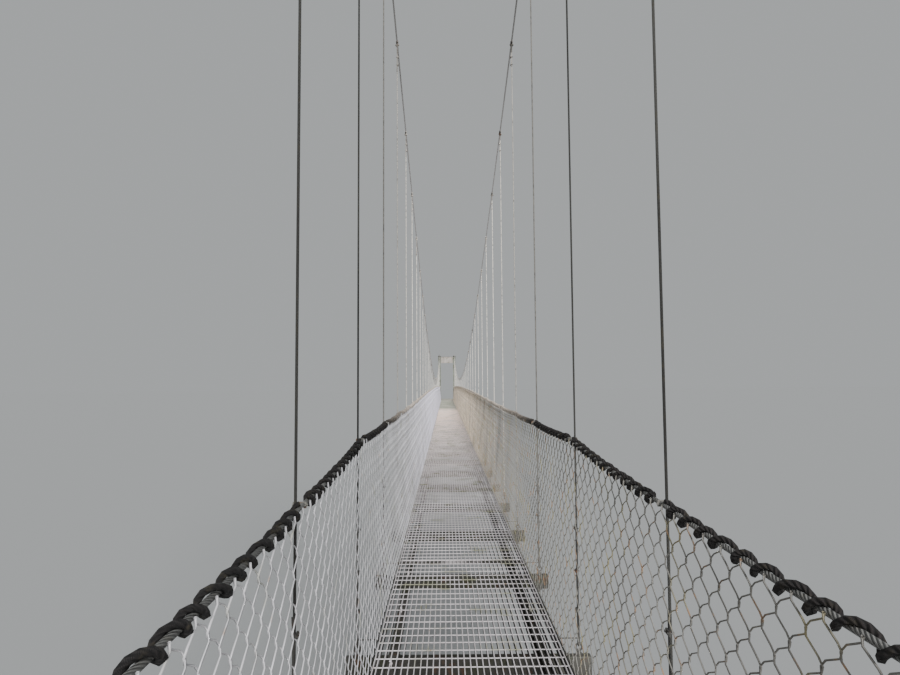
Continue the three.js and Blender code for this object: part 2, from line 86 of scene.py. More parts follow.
class Nodes:
    """A node tree, with short ways to add nodes and to set or link their inputs."""

    def __init__(self, tree):
        self.tree = tree

    def put(self, socket, value):
        """Sets an input, or links it to a socket or to a node's first output."""
        if isinstance(value, bpy.types.Node):
            value = value.outputs[0]
        if isinstance(value, bpy.types.NodeSocket):
            self.tree.links.new(value, socket)
        else:
            socket.default_value = value

    def add(self, kind, settings=None, **inputs):
        made = self.tree.nodes.new(kind)
        for name, value in (settings or {}).items():
            setattr(made, name, value)
        for name, value in inputs.items():
            self.put(made.inputs[name.replace("_", " ")], value)
        return made

    def ordered(self, kind, settings, *values):
        """Adds a node whose inputs are given in their order."""
        made = self.add(kind, settings)
        for socket, value in zip(made.inputs, values):
            self.put(socket, value)
        return made

    def maths(self, operation, *values):
        return self.ordered("ShaderNodeMath", {"operation": operation}, *values)

    def between(self, value, low, high, to_low=0.0, to_high=1.0):
        """Where a value lies from low to high, turned to a range of its own."""
        return self.add(
            "ShaderNodeMapRange", Value=value, From_Min=low, From_Max=high, To_Min=to_low,
            To_Max=to_high)

    def vector(self, x, y, z):
        return self.ordered("ShaderNodeCombineXYZ", None, x, y, z)

    def parts(self, vector):
        return self.add("ShaderNodeSeparateXYZ", Vector=vector).outputs


class Finish(Nodes):
    """A material being made: its own colour, stains laid over it, and bumps."""

    def __init__(self, name, metallic=0.0):
        self.material = bpy.data.materials.new(name)
        self.material.use_nodes = True
        super().__init__(self.material.node_tree)
        self.shader = self.tree.nodes["Principled BSDF"]
        self.put(self.shader.inputs["Metallic"], metallic)
        self.place = self.add("ShaderNodeTexCoord").outputs["Object"]
        self.colour = None
        self.normal = None

    def noise(self, scale, detail, stretch=(1, 1, 1)):
        mapped = self.add("ShaderNodeMapping", Vector=self.place, Scale=stretch)
        return self.add("ShaderNodeTexNoise", Vector=mapped, Scale=scale, Detail=detail)

    def base(self, factor, dark, light):
        self.colour = self.ordered("ShaderNodeMixRGB", None, factor, (*dark, 1), (*light, 1))

    def stain(self, factor, tint):
        self.colour = self.ordered("ShaderNodeMixRGB", None, factor, self.colour, (*tint, 1))

    def fade(self, axis, cloud, changes):
        """Turns the colour, unevenly as the cloud says, to each change's tint from its first place
        on an axis to its second."""
        for tint, start, end in changes:
            away = self.between(self.parts(self.place)[axis], start, end)
            self.stain(self.maths("MULTIPLY", away, self.between(cloud, 0.15, 0.5)), tint)

    def bump(self, height, distance, strength=1.0):
        made = self.add("ShaderNodeBump", Height=height, Distance=distance, Strength=strength)
        if self.normal is not None:
            self.put(made.inputs["Normal"], self.normal)
        self.normal = made

    def done(self, cloud, *roughness):
        """The material, as rough as the cloud says between the two values."""
        for name, value in (
                ("Base Color", self.colour), ("Normal", self.normal),
                ("Roughness", self.between(cloud, 0.3, 0.7, *roughness))):
            self.put(self.shader.inputs[name], value)
        return self.material


def concrete_finish():
    finish = Finish("board_marked_concrete")
    cloud = finish.noise(2.2, 6)
    grain = finish.noise(90, 8)
    finish.base(cloud, (0.20, 0.195, 0.165), (0.38, 0.37, 0.325))
    finish.stain(finish.between(grain, 0.45, 0.75, 0, 0.35), (0.22, 0.21, 0.185))
    height = finish.parts(finish.place)[2]
    rise = finish.maths("MULTIPLY_ADD", cloud, 0.25, height)
    finish.stain(finish.between(rise, 0.30, 0.10, 0, 0.75), (0.105, 0.11, 0.06))
    streaks = finish.noise(7, 5, (1, 1, 0.12))
    finish.stain(finish.between(streaks, 0.52, 0.74, 0, 0.6), (0.15, 0.14, 0.105))
    board = finish.maths("FRACT", finish.maths("DIVIDE", height, BOARD_HEIGHT))
    board_edge = finish.maths("ABSOLUTE", finish.maths("SUBTRACT", board, 0.5))
    holes = finish.add(
        "ShaderNodeTexVoronoi", Vector=finish.place, Scale=34.0, Randomness=1.0)
    pits = finish.between(holes, 0.16, 0.08)
    # The air holes are painted darker as well as bumped: painted shade in them.
    finish.stain(finish.maths("MULTIPLY", pits, 0.6), (0.13, 0.12, 0.10))
    finish.bump(finish.maths("MULTIPLY_ADD", pits, -0.8, grain), 0.0016)
    finish.bump(finish.between(board_edge, 0.46, 0.5), 0.0015)
    return finish.done(grain, 0.82, 0.97)


CONCRETE = concrete_finish()


def settle(piece, slot, *nodes):
    """Gives a finished piece to the bridge's one body, in the place of the nodes it stands for."""
    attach(piece, "root")
    if nodes:
        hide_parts(*nodes)


def shown(name, mesh, finish=None):
    piece = bpy.data.objects.new(name, mesh)
    bpy.context.scene.collection.objects.link(piece)
    if finish is not None:
        mesh.materials.clear()
        mesh.materials.append(finish)
    return piece


def cast_block(node):
    form = bmesh.new()
    form.from_mesh(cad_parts[node].data)
    bmesh.ops.remove_doubles(form, verts=form.verts, dist=1e-5)
    bmesh.ops.dissolve_limit(
        form, angle_limit=radians(1), verts=form.verts, edges=form.edges)
    bmesh.ops.bevel(
        form, geom=form.edges[:], offset=CHAMFER, segments=2, profile=0.6, affect="EDGES")
    mesh = bpy.data.meshes.new(node)
    form.to_mesh(mesh)
    form.free()
    return shown(f"{node}_cast", mesh, CONCRETE)


for block in ("near_abutment", "far_abutment", "near_anchor_block", "far_anchor_block"):
    settle(cast_block(block), "concrete", block)

# Anchor rods: a bearing plate, a washer and a hexagon nut on a threaded rod, a turnbuckle to set
# the cable's sag, and a fork and pin that hold the cable's socket. All are forged or cut steel.

ROD_PLATE = 0.055
ROD_RADIUS = 0.0075
THREAD_PITCH = 0.0025
THREAD_DEPTH = 0.0007
NUT_HEIGHT = 0.014
TURNBUCKLE = (0.110, 0.250)
TURNBUCKLE_BOSS = 0.028
FORK = (0.262, 0.300)
SOCKET = (0.288, 0.330)
BACKSTAY_SLOPE = radians(38)
SIDE_X = middle_of("main_cable_right").x
SHARP_ANGLE = radians(38)


def circle(centre, across, beside, radius, sides):
    """Points round a centre, in the plane of two directions."""
    centre, across, beside = Vector(centre), Vector(across), Vector(beside)
    return [
        centre + radius * (cos(2 * pi * i / sides) * across + sin(2 * pi * i / sides) * beside)
        for i in range(sides)]


class Body:
    """A mesh put together from plates, rods, turned and swept forms, in metres."""

    def __init__(self):
        self.bm = bmesh.new()

    def closed(self, rings, wrap=False):
        """Skins a list of rings of points. The ends are capped unless the rings wrap round."""
        rows = [[self.bm.verts.new(point) for point in ring] for ring in rings]
        faces = [
            self.bm.faces.new((low[i - 1], low[i], high[i], high[i - 1]))
            for low, high in zip(rows, rows[1:] + rows[:wrap]) for i in range(len(low))]
        if not wrap:
            faces += [self.bm.faces.new(rows[0]), self.bm.faces.new(rows[-1])]
        bmesh.ops.recalc_face_normals(self.bm, faces=faces)
        return faces

    def box(self, low, high, bevel=0.0):
        corners = [(low[0], low[1]), (high[0], low[1]), (high[0], high[1]), (low[0], high[1])]
        faces = self.closed([[(x, y, z) for x, y in corners] for z in (low[2], high[2])])
        if bevel:
            edges = list({edge for face in faces for edge in face.edges})
            bmesh.ops.bevel(self.bm, geom=edges, offset=bevel, segments=1, affect="EDGES")

    def prism(self, outline, axis, start, end):
        """An outline, drawn in the two axes after the given one, pushed from start to end."""
        self.closed([
            [(along, a, b)[-axis:] + (along, a, b)[:-axis] for a, b in outline]
            for along in (start, end)])

    def turned(self, foot, along, profile, sides=16):
        """A form turned about a line from its foot: pairs of distance along it and radius."""
        foot, along = Vector(foot), Vector(along).normalized()
        across = along.orthogonal().normalized()
        self.closed([
            circle(foot + along * distance, across, along.cross(across), radius, sides)
            for distance, radius in profile])

    def rod(self, foot, top, radius, sides=12):
        along = Vector(top) - Vector(foot)
        edge = radius * 0.12
        self.turned(foot, along, [
            (0, radius - edge), (edge, radius), (along.length - edge, radius),
            (along.length, radius - edge)], sides)

    def nut(self, foot, along, radius, height):
        """A hexagon nut or bolt head whose corners are rounded off at its top and foot."""
        edge = height * 0.14
        self.turned(foot, along, [
            (0, radius * 0.9), (edge, radius), (height - edge, radius), (height, radius * 0.9)], 6)

    def bolt(self, seat, along, radius, stud=0.0):
        """A washer and a nut on a seat, with the end of its stud standing proud."""
        seat, along = Vector(seat), Vector(along).normalized()
        washer = radius * 0.35
        self.turned(seat, along, [(0, radius * 2.1), (washer, radius * 2.05)], 12)
        self.nut(seat + along * washer, along, radius * 1.8, radius * 1.5)
        if stud:
            self.rod(seat, seat + along * (washer + radius * 1.5 + stud), radius, 10)

    def swept(self, points, radius, sides=6, wrap=False):
        """A round bar along points, which closes on itself if it wraps."""
        points = [Vector(point) for point in points]
        count = len(points)
        rings = []
        across = None
        for i, point in enumerate(points):
            ahead = points[(i + 1) % count] if wrap or i < count - 1 else point
            behind = points[i - 1] if wrap or i else point
            along = (ahead - behind).normalized()
            if across is None:
                across = along.orthogonal()
            across = (across - across.dot(along) * along).normalized()
            rings.append(circle(point, across, along.cross(across), radius, sides))
        self.closed(rings, wrap)

    def moved(self, matrix):
        bmesh.ops.transform(self.bm, matrix=matrix, verts=self.bm.verts)
        return self

    def mesh(self, name):
        made = bpy.data.meshes.new(name)
        self.bm.to_mesh(made)
        self.bm.free()
        made.shade_smooth()
        made.set_sharp_from_angle(angle=SHARP_ANGLE)
        return made


def weathered_steel(
        name, dark, light, stain, rust, cover, roughness, metallic, grain=60, painted_sun_and_tints=(),
        painted_shade_below=()):
    """Steel that shades from dark to light, with grime in broad patches and rust in small ones.

    Cover says how much grime and rust there is, each from 0 to 1. The tints that it turns to along
    Y, each with the two Y between which it turns, are painted sunlight on the far part of the
    bridge, and on the grating also a darker green-grey further out. The tints downwards, given the
    same way, are painted shade down the sides of parts."""
    finish = Finish(name, metallic)
    broad = finish.noise(3.1, 5)
    patches = finish.noise(11, 8)
    fine = finish.noise(grain, 6)
    finish.base(finish.between(broad, 0.32, 0.68), dark, light)
    # Along Y: painted sunlight on the far part of the bridge, as the tints say.
    finish.fade(1, broad, painted_sun_and_tints)
    finish.stain(finish.between(fine, 0.35, 0.75, 0, 0.35), dark)
    spots = finish.maths("MULTIPLY", finish.maths("ADD", finish.noise(23, 7), fine), 0.5)
    for cloud, share, width, strength, tint in (
            (patches, cover[0], 0.12, 0.8, stain), (spots, cover[1], 0.06, 0.9, rust)):
        edge = 0.72 - 0.3 * share
        finish.stain(finish.between(cloud, edge, edge + width, 0, strength), tint)
    # Downwards: painted shade down the sides of parts.
    finish.fade(2, patches, painted_shade_below)
    finish.bump(finish.maths("ADD", fine, patches), 0.0006, 0.6)
    return finish.done(patches, *roughness)


FITTING_STEEL = weathered_steel(
    "weathered_fittings", (0.10, 0.095, 0.085), (0.27, 0.26, 0.235), (0.055, 0.05, 0.035),
    (0.16, 0.07, 0.03), (0.75, 0.6), (0.5, 0.85), 0.35)


def threaded(body, foot, top, radius):
    """An upright rod with a thread's crests and roots as rings along it."""
    turns = ceil((top - foot) / THREAD_PITCH)
    body.turned((0, 0, foot), (0, 0, 1), [
        ((top - foot) * i / (2 * turns), radius - (0 if i % 2 else THREAD_DEPTH))
        for i in range(2 * turns + 1)], 10)


def anchor_rod():
    """Drawn standing on its bearing plate, with the cable leaving at the top."""
    body = Body()
    plate, shank = 0.010, (0.050, 0.088)
    start, end = TURNBUCKLE
    middle, half = (start + end) / 2, (end - start) / 2 - TURNBUCKLE_BOSS
    body.box((-ROD_PLATE, -ROD_PLATE, 0.0003), (ROD_PLATE, ROD_PLATE, plate), 0.0012)
    body.rod((0, 0, plate), (0, 0, plate + 0.003), 0.021, 20)
    body.nut((0, 0, plate + 0.003), (0, 0, 1), 0.0155, NUT_HEIGHT)
    body.rod((0, 0, shank[0]), (0, 0, shank[1]), ROD_RADIUS, 14)
    for foot, top in ((plate, shank[0]), (shank[1], start + 0.050), (end - 0.050, FORK[0])):
        threaded(body, foot, top, ROD_RADIUS)
    for foot, turn in ((start, 1), (end, -1)):
        body.turned((0, 0, foot), (0, 0, turn), [
            (0, 0.0098), (0.002, 0.0118), (TURNBUCKLE_BOSS - 0.006, 0.0125),
            (TURNBUCKLE_BOSS, 0.0105)])
    body.rod((0, 0, FORK[0] - 0.012), (0, 0, FORK[0] + 0.006), 0.0095, 14)
    for side in (-1, 1):
        body.swept([(0, side * out, middle + along) for out, along in (
            (0.0085, -half - 0.012), (0.0110, 0.006 - half), (0.0112, 0), (0.0110, half - 0.006),
            (0.0085, half + 0.012))], 0.0038, 8)
        body.box(
            (side * 0.0072 - 0.0018, -0.0085, FORK[0] + 0.001),
            (side * 0.0072 + 0.0018, 0.0085, FORK[1]), 0.0012)
    pin = (FORK[0] + FORK[1]) / 2 + 0.006
    body.rod((-0.0135, 0, pin), (0.0135, 0, pin), 0.004, 12)
    body.bolt((0.009, 0, pin), (1, 0, 0), 0.0032)
    body.box((-0.0048, -0.0072, pin - 0.010), (0.0048, 0.0072, SOCKET[0] + 0.006), 0.001)
    body.turned((0, 0, SOCKET[0]), (0, 0, 1), [
        (0, 0.0096), (0.012, 0.0099), (0.016, 0.0092), (SOCKET[1] - SOCKET[0], 0.0056)])
    return body


# Everything at an end is drawn about its tower's line, with the span towards +Y, and then moved
# to its place. The far end is turned half round, so what is drawn on its left stands on its right.
ENDS = {
    "near": Matrix.Translation((0, NEAR_Y, 0)),
    "far": Matrix.Translation((0, FAR_Y, 0)) @ Matrix.Rotation(pi, 4, "Z")}
SIDES = {"left": -1, "right": 1}


def rod_foot(end, side):
    """Where a rod's middle line meets its plate's foot, drawn about the tower's line."""
    low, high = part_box(f"{end}_anchor_rod_{side}")
    out = NEAR_Y - low.y if end == "near" else high.y - FAR_Y
    return Vector((
        0, -out + ROD_PLATE * sin(BACKSTAY_SLOPE), low.z + ROD_PLATE * cos(BACKSTAY_SLOPE)))


def corners():
    """Each end and side, with the end's matrix and the side's sign as it is drawn there."""
    for end, stand in ENDS.items():
        for side, sign in SIDES.items():
            yield end, side, stand, sign if end == "near" else -sign


for end, side, stand, sign in corners():
    lean = (
        Matrix.Translation(rod_foot(end, side) + Vector((sign * SIDE_X, 0, 0)))
        @ Matrix.Rotation(BACKSTAY_SLOPE - pi / 2, 4, "X"))
    name = f"{end}_anchor_rod_{side}"
    mesh = anchor_rod().moved(stand @ lean).mesh(name)
    settle(shown(f"{name}_turnbuckle", mesh, FITTING_STEEL), "frame_steel", name)

# Towers: each leg is two channels with their toes facing, tied by batten plates that are welded
# across them, on a base plate with anchor bolts. Painted once, they have dulled and stained.

CHANNEL_HALF_WIDTH = 0.050
CHANNEL_HALF_DEPTH = 0.030
CHANNEL_FLANGE = 0.035
CHANNEL_STEEL = 0.0035
BATTEN_HEIGHT = 0.090
BATTEN_PITCH = 0.190
BATTEN_STEEL = 0.004
BASE_PLATE = (0.075, 0.012)
CAP_PLATE = (0.056, 0.008)
ANCHOR_BOLT_SPACING = 0.057
LEG_HALF_DEPTH = CHANNEL_HALF_DEPTH + BATTEN_STEEL

TOWER_STEEL = weathered_steel(
    "mossy_tower_paint", (0.095, 0.105, 0.080), (0.21, 0.225, 0.180), (0.075, 0.085, 0.040),
    (0.17, 0.085, 0.045), (0.65, 0.45), (0.5, 0.8), 0.15, 45)


def geometry_tree(name, **inputs):
    """A new Geometry Nodes tree with a geometry input and the named ones, and its first node."""
    tree = bpy.data.node_groups.new(name, "GeometryNodeTree")
    tree.interface.new_socket("Geometry", in_out="OUTPUT", socket_type="NodeSocketGeometry")
    for label, kind in {"Geometry": "Geometry", **inputs}.items():
        tree.interface.new_socket(label, in_out="INPUT", socket_type=f"NodeSocket{kind}")
    nodes = Nodes(tree)
    return nodes, nodes.add("NodeGroupInput").outputs


def close_tree(nodes, geometry, finish):
    """Ends a tree: its copies are made real and given their finish."""
    real = nodes.add("GeometryNodeRealizeInstances", Geometry=geometry)
    done = nodes.add("GeometryNodeSetMaterial", Geometry=real, Material=finish)
    nodes.add("NodeGroupOutput", Geometry=done)
    return nodes.tree


def grown(name, tree, base, **values):
    """The plain mesh that a tree makes of a base mesh."""
    source = shown(f"{name}_source", base)
    modifier = source.modifiers.new("grow", "NODES")
    modifier.node_group = tree
    for item in tree.interface.items_tree:
        if item.in_out == "INPUT" and item.name in values:
            modifier[item.identifier] = values[item.name]
    evaluated = source.evaluated_get(bpy.context.evaluated_depsgraph_get())
    mesh = bpy.data.meshes.new_from_object(evaluated)
    mesh.name = name
    bpy.data.objects.remove(source)
    return mesh


def copies_tree():
    """Copies of one small piece at the base's points, each turned as its point says."""
    nodes, given = geometry_tree("copies", Piece="Object", Finish="Material")
    piece = nodes.add("GeometryNodeObjectInfo", Object=given["Piece"])
    turn = nodes.add(
        "GeometryNodeInputNamedAttribute", {"data_type": "FLOAT_VECTOR"}, Name="turn")
    placed = nodes.add(
        "GeometryNodeInstanceOnPoints", Points=given["Geometry"],
        Instance=piece.outputs["Geometry"], Rotation=turn)
    return close_tree(nodes, placed, given["Finish"])


COPIES = copies_tree()


def lines(*routes):
    """A base mesh of open lines, one for each list of points."""
    base = bpy.data.meshes.new("lines")
    points, edges = [], []
    for route in routes:
        first, last = len(points), len(points) + len(route) - 1
        edges += [(i, i + 1) for i in range(first, last)]
        points += route
    base.from_pydata(points, edges, [])
    return base


def copies(name, body, places, finish):
    """A body repeated at each place, which is a point with a turn about the three axes."""
    points, angles = zip(*places)
    pattern = shown("pattern", body.mesh("pattern"))
    base = lines(*([point] for point in points))
    turns = base.attributes.new("turn", "FLOAT_VECTOR", "POINT")
    turns.data.foreach_set("vector", [part for turn in angles for part in turn])
    mesh = grown(name, COPIES, base, Piece=pattern, Finish=finish)
    bpy.data.objects.remove(pattern)
    return mesh


def joined(name, finish, *meshes):
    """One object made of several meshes."""
    whole = bmesh.new()
    for mesh in meshes:
        whole.from_mesh(mesh)
    made = meshes[0].copy()
    made.name = name
    whole.to_mesh(made)
    whole.free()
    return shown(name, made, finish)


def outward(sign):
    """The turn of what is drawn for the right side, or with its front towards the span."""
    return (0, 0, 0 if sign > 0 else pi)


def facing(points, sign):
    """The places of copies that all face outwards on the side that the sign says."""
    return [(point, outward(sign)) for point in points]


def mirrored(half):
    """A whole outline from the half of it on one side of its second axis."""
    return half + [(-a, b) for a, b in reversed(half)]


def channel(turn):
    """A channel's outline in plan, with its web outwards on the side that turn says."""
    deep, steel = CHANNEL_HALF_DEPTH, CHANNEL_STEEL
    half = [
        (deep, 0), (deep, CHANNEL_FLANGE), (deep - steel, CHANNEL_FLANGE),
        (deep - steel, 2 * steel), (deep - 2 * steel, steel)]
    return [(turn * (x - CHANNEL_HALF_WIDTH), y) for y, x in mirrored(half)]


def batten(height):
    """A plate across the channels' toes, with a weld down each side of it."""
    body = Body()
    edge = CHANNEL_HALF_WIDTH - 0.006
    body.box((-edge, 0, 0), (edge, BATTEN_STEEL, height), 0.0006)
    for x in (-edge, edge):
        body.swept([
            (x + 0.0003 * (i % 2), 0.0004, height * (0.03 + 0.94 * i / 12)) for i in range(13)],
            0.0021)
    return body


def leg_frame(bottom, top):
    """A leg drawn about its middle line: channels, base and cap plates, stiffeners and bolts."""
    body = Body()
    half, thick = BASE_PLATE
    cap_half, cap_thick = CAP_PLATE
    floor, rib = bottom + thick, half - 0.004
    body.box((-half, -half, bottom), (half, half, floor), 0.0015)
    body.box((-cap_half, -cap_half, top - cap_thick), (cap_half, cap_half, top), 0.0012)
    for turn in (-1, 1):
        body.prism(channel(turn), 2, floor, top - cap_thick)
        for x in (-0.034, 0.034):
            body.prism([
                (turn * LEG_HALF_DEPTH, floor), (turn * rib, floor), (turn * rib, floor + 0.008),
                (turn * LEG_HALF_DEPTH, floor + 0.062)], 0, x - 0.003, x + 0.003)
        for x in (-ANCHOR_BOLT_SPACING, ANCHOR_BOLT_SPACING):
            body.bolt((x, turn * ANCHOR_BOLT_SPACING, floor), (0, 0, 1), 0.0055, 0.012)
    return body


def battened_leg(name, bottom, top, middle):
    """A leg with its battens, drawn about its middle line and moved to its place."""
    under_cap = top - CAP_PLATE[1]
    feet = [DECK_TOP - BATTEN_HEIGHT / 2]
    while feet[-1] + BATTEN_HEIGHT + BATTEN_PITCH < under_cap:
        feet.append(feet[-1] + BATTEN_PITCH)
    last = feet.pop()
    plates = [
        copies(name, batten(height), [
            (middle @ Vector((0, turn * CHANNEL_HALF_DEPTH, foot)), outward(turn))
            for foot in bottoms for turn in (-1, 1)], TOWER_STEEL)
        for height, bottoms in ((BATTEN_HEIGHT, feet), (under_cap - last, [last]))]
    frame_mesh = leg_frame(bottom, top).moved(middle).mesh(name)
    return joined(f"{name}_battened", TOWER_STEEL, frame_mesh, *plates)


for end, side, stand, _ in corners():
    name = f"{end}_tower_leg_{side}"
    low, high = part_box(name)
    place = Matrix.Translation(((low.x + high.x) / 2, stand.translation.y, 0))
    settle(battened_leg(name, low.z, high.z, place), "tower_steel", name)

# Beams and bracing: I-beams with end plates bolted to the legs and stiffeners welded to their
# webs, and on the tall tower two crosses of flat bar, bolted to gussets and where they cross.

BEAM_FLANGE = 0.025
BEAM_STEEL = 0.006
END_PLATE = 0.006
STIFFENER_STEEL = 0.004
BEAM_BOLT = 0.0042
BRACE_HALF_HEIGHT = 0.012
BRACE_STEEL = 0.004
GUSSET = 0.075


def cross_beam(half_length, bottom, top):
    """Drawn across the bridge about the tower's line."""
    body = Body()
    flange, steel, web = BEAM_FLANGE, BEAM_STEEL, BEAM_STEEL * 0.45
    fillet = 0.004
    body.prism(mirrored([
        (flange, bottom), (flange, bottom + steel), (web + fillet, bottom + steel),
        (web, bottom + steel + fillet), (web, top - steel - fillet), (web + fillet, top - steel),
        (flange, top - steel), (flange, top)]), 0, END_PLATE - half_length, half_length - END_PLATE)
    rows = max(2, round((top - bottom) / 0.06))
    for turn in (-1, 1):
        inner = turn * (half_length - END_PLATE)
        low_x, high_x = sorted((inner, turn * half_length))
        body.box((low_x, -flange, bottom), (high_x, flange, top), 0.0008)
        for row in range(rows):
            for y in (-0.014, 0.014):
                height = bottom + (top - bottom) * (row + 0.5) / rows
                body.bolt((inner, y, height), (-turn, 0, 0), BEAM_BOLT)
        low_y, high_y = sorted((turn * web, turn * (flange - 0.002)))
        for x in (-0.5 * half_length, 0, 0.5 * half_length):
            body.box(
                (x - STIFFENER_STEEL / 2, low_y, bottom + steel),
                (x + STIFFENER_STEEL / 2, high_y, top - steel), 0.0006)
    return body


def brace_bar(body, start, end, y):
    """A flat bar from one point to another in the tower's plane, at the given depth."""
    start, end = Vector(start), Vector(end)
    across = (end - start).normalized().orthogonal() * BRACE_HALF_HEIGHT
    body.prism(
        [(z, x) for x, z in (start + across, end + across, end - across, start - across)],
        1, y, y + BRACE_STEEL)


def bracing(half_length, bottom, top):
    body = Body()
    middle = (bottom + top) / 2
    reach = half_length - 0.018
    edge = BRACE_HALF_HEIGHT * 1.6
    for low, high in ((bottom + edge, middle - edge), (middle + edge, top - edge)):
        slope = (high - low) / (2 * reach)
        brace_bar(body, (-reach, low), (reach, high), -BRACE_STEEL)
        brace_bar(body, (-reach, high), (reach, low), 0)
        body.bolt((0, BRACE_STEEL, (low + high) / 2), (0, 1, 0), 0.0034, 0.002)
        body.bolt((0, -BRACE_STEEL, (low + high) / 2), (0, -1, 0), 0.0034)
        for turn in (-1, 1):
            for height, rise in ((low, 1), (high, -1)):
                corner = height - rise * edge
                body.prism([(corner + rise * up, turn * x) for up, x in (
                    (0, half_length), (0, half_length - GUSSET),
                    (GUSSET * 0.35, half_length - GUSSET), (GUSSET, reach),
                    (GUSSET, half_length))], 1, -0.0005, 0.0025)
                for step in (0.012, 0.036):
                    body.bolt(
                        (turn * (reach - step), BRACE_STEEL, height + rise * slope * step),
                        (0, 1, 0), 0.003)
    brace_bar(body, (-half_length, middle), (half_length, middle), -BRACE_STEEL / 2)
    return body


BEAM_PAINT = weathered_steel(
    "dulled_beam_paint", (0.25, 0.225, 0.20), (0.41, 0.375, 0.34), (0.15, 0.14, 0.09),
    (0.20, 0.10, 0.05), (0.6, 0.4), (0.45, 0.75), 0.15, 45)

for end, stand in ENDS.items():
    for node, draw, paint in (
            ("tower_top_beam", cross_beam, BEAM_PAINT),
            ("tower_portal_beam", cross_beam, BEAM_PAINT),
            ("tower_bracing", bracing, TOWER_STEEL)):
        name = f"{end}_{node}"
        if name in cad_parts:
            low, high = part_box(name)
            mesh = draw(high.x, low.z, high.z).moved(stand).mesh(name)
            settle(shown(f"{name}_bolted", mesh, paint), "tower_steel", name)

# Saddles: a grooved iron casting on each leg's cap, with ribs down to its base, and two straps
# bolted over the cable on its way down to each side.

CABLE_RADIUS = 0.004
SADDLE_RADIUS = 0.150
SEAT_RADIUS = 0.1454
CHEEK_RADIUS = SEAT_RADIUS + 0.010
SADDLE_HALF_WIDTH = 0.0095
SADDLE_HALF_LENGTH = 0.088
SADDLE_BASE = (0.040, 0.008)
SADDLE_STEPS = 20
STRAP_ANGLE = radians(24)
STRAP_STEEL = 0.0016
CABLE_LOW_Y = 16.680
CABLE_LOW_HEIGHT = 0.775
CABLE_CURVE = 9.6e-3
SPAN = FAR_Y - NEAR_Y


def strap():
    """A strap over the cable, drawn about the middle of the saddle's arc, with its two bolts."""
    body = Body()
    width = SADDLE_HALF_WIDTH + STRAP_STEEL
    body.prism([(up, x) for x, up in mirrored([
        (width, CHEEK_RADIUS + STRAP_STEEL), (width, CHEEK_RADIUS - 0.014),
        (SADDLE_HALF_WIDTH, CHEEK_RADIUS - 0.014), (SADDLE_HALF_WIDTH, CHEEK_RADIUS)])],
        1, -0.006, 0.006)
    for facing in (-1, 1):
        body.bolt((facing * width, 0, CHEEK_RADIUS - 0.009), (facing, 0, 0), 0.0022)
    return body


def saddle(bottom, centre_z):
    """Drawn about the tower's line at its cable's plane."""
    body = Body()
    base_half, base_thick = SADDLE_BASE
    floor = bottom + base_thick
    rim = SADDLE_HALF_WIDTH
    groove = CABLE_RADIUS + 0.0004
    body.box(
        (-base_half, -SADDLE_HALF_LENGTH, bottom), (base_half, SADDLE_HALF_LENGTH, floor), 0.0012)
    rings = []
    for i in range(SADDLE_STEPS + 1):
        y = SADDLE_HALF_LENGTH * (2 * i / SADDLE_STEPS - 1)
        cheek, lip, bed, seat = (
            centre_z + sqrt(radius ** 2 - y ** 2) for radius in (
                CHEEK_RADIUS, SEAT_RADIUS + 0.002, SEAT_RADIUS + 0.0004, SEAT_RADIUS))
        half = mirrored([
            (rim, floor), (rim, cheek - 0.001), (rim - 0.001, cheek), (groove + 0.001, cheek),
            (groove, cheek - 0.002), (groove * 0.92, lip), (groove * 0.5, bed), (0, seat)])
        rings.append([(x, y, z) for x, z in half[:8] + half[9:]])
    body.closed(rings)
    for turn in (-1, 1):
        for y in (-0.060, -0.020, 0.020, 0.060):
            body.prism(
                [(floor, turn * rim), (floor, turn * (base_half - 0.004)),
                 (floor + 0.006, turn * (base_half - 0.004)), (floor + 0.022, turn * rim)],
                1, y - 0.0025, y + 0.0025)
        for y in (-0.040, 0.040):
            body.bolt((turn * 0.028, y, floor), (0, 0, 1), 0.0038, 0.003)
        place = (
            Matrix.Translation((0, 0, centre_z)) @ Matrix.Rotation(turn * STRAP_ANGLE, 4, "X"))
        body.bm.from_mesh(strap().moved(place).mesh("strap"))
    return body


def cable_height(y):
    """Height of the main cable's middle line at a distance along the span from the near tower."""
    return DECK_TOP + CABLE_LOW_HEIGHT + CABLE_CURVE * (y - CABLE_LOW_Y) ** 2


def cable_over(end):
    """The angle at which the cable leaves its saddle for the span, and its arc's centre height."""
    tower_y, inward = (0, 1) if end == "near" else (SPAN, -1)
    angle = atan(abs(2 * CABLE_CURVE * (tower_y - CABLE_LOW_Y)))
    start = tower_y + inward * SADDLE_RADIUS * sin(angle)
    return angle, cable_height(start) - SADDLE_RADIUS * cos(angle)


for end, side, stand, sign in corners():
    name = f"{end}_saddle_{side}"
    place = stand @ Matrix.Translation((sign * SIDE_X, 0, 0))
    mesh = saddle(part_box(name)[0].z, cable_over(end)[1]).moved(place).mesh(name)
    settle(shown(f"{name}_casting", mesh, FITTING_STEEL), "frame_steel", name)

# Main cables: galvanised wire rope of six strands round a core, laid in one length from socket to
# socket, over the saddles and down to the low point of the span.

BAY = 0.75
BAY_COUNT = round(SPAN / BAY)
ARC_STEPS = 12


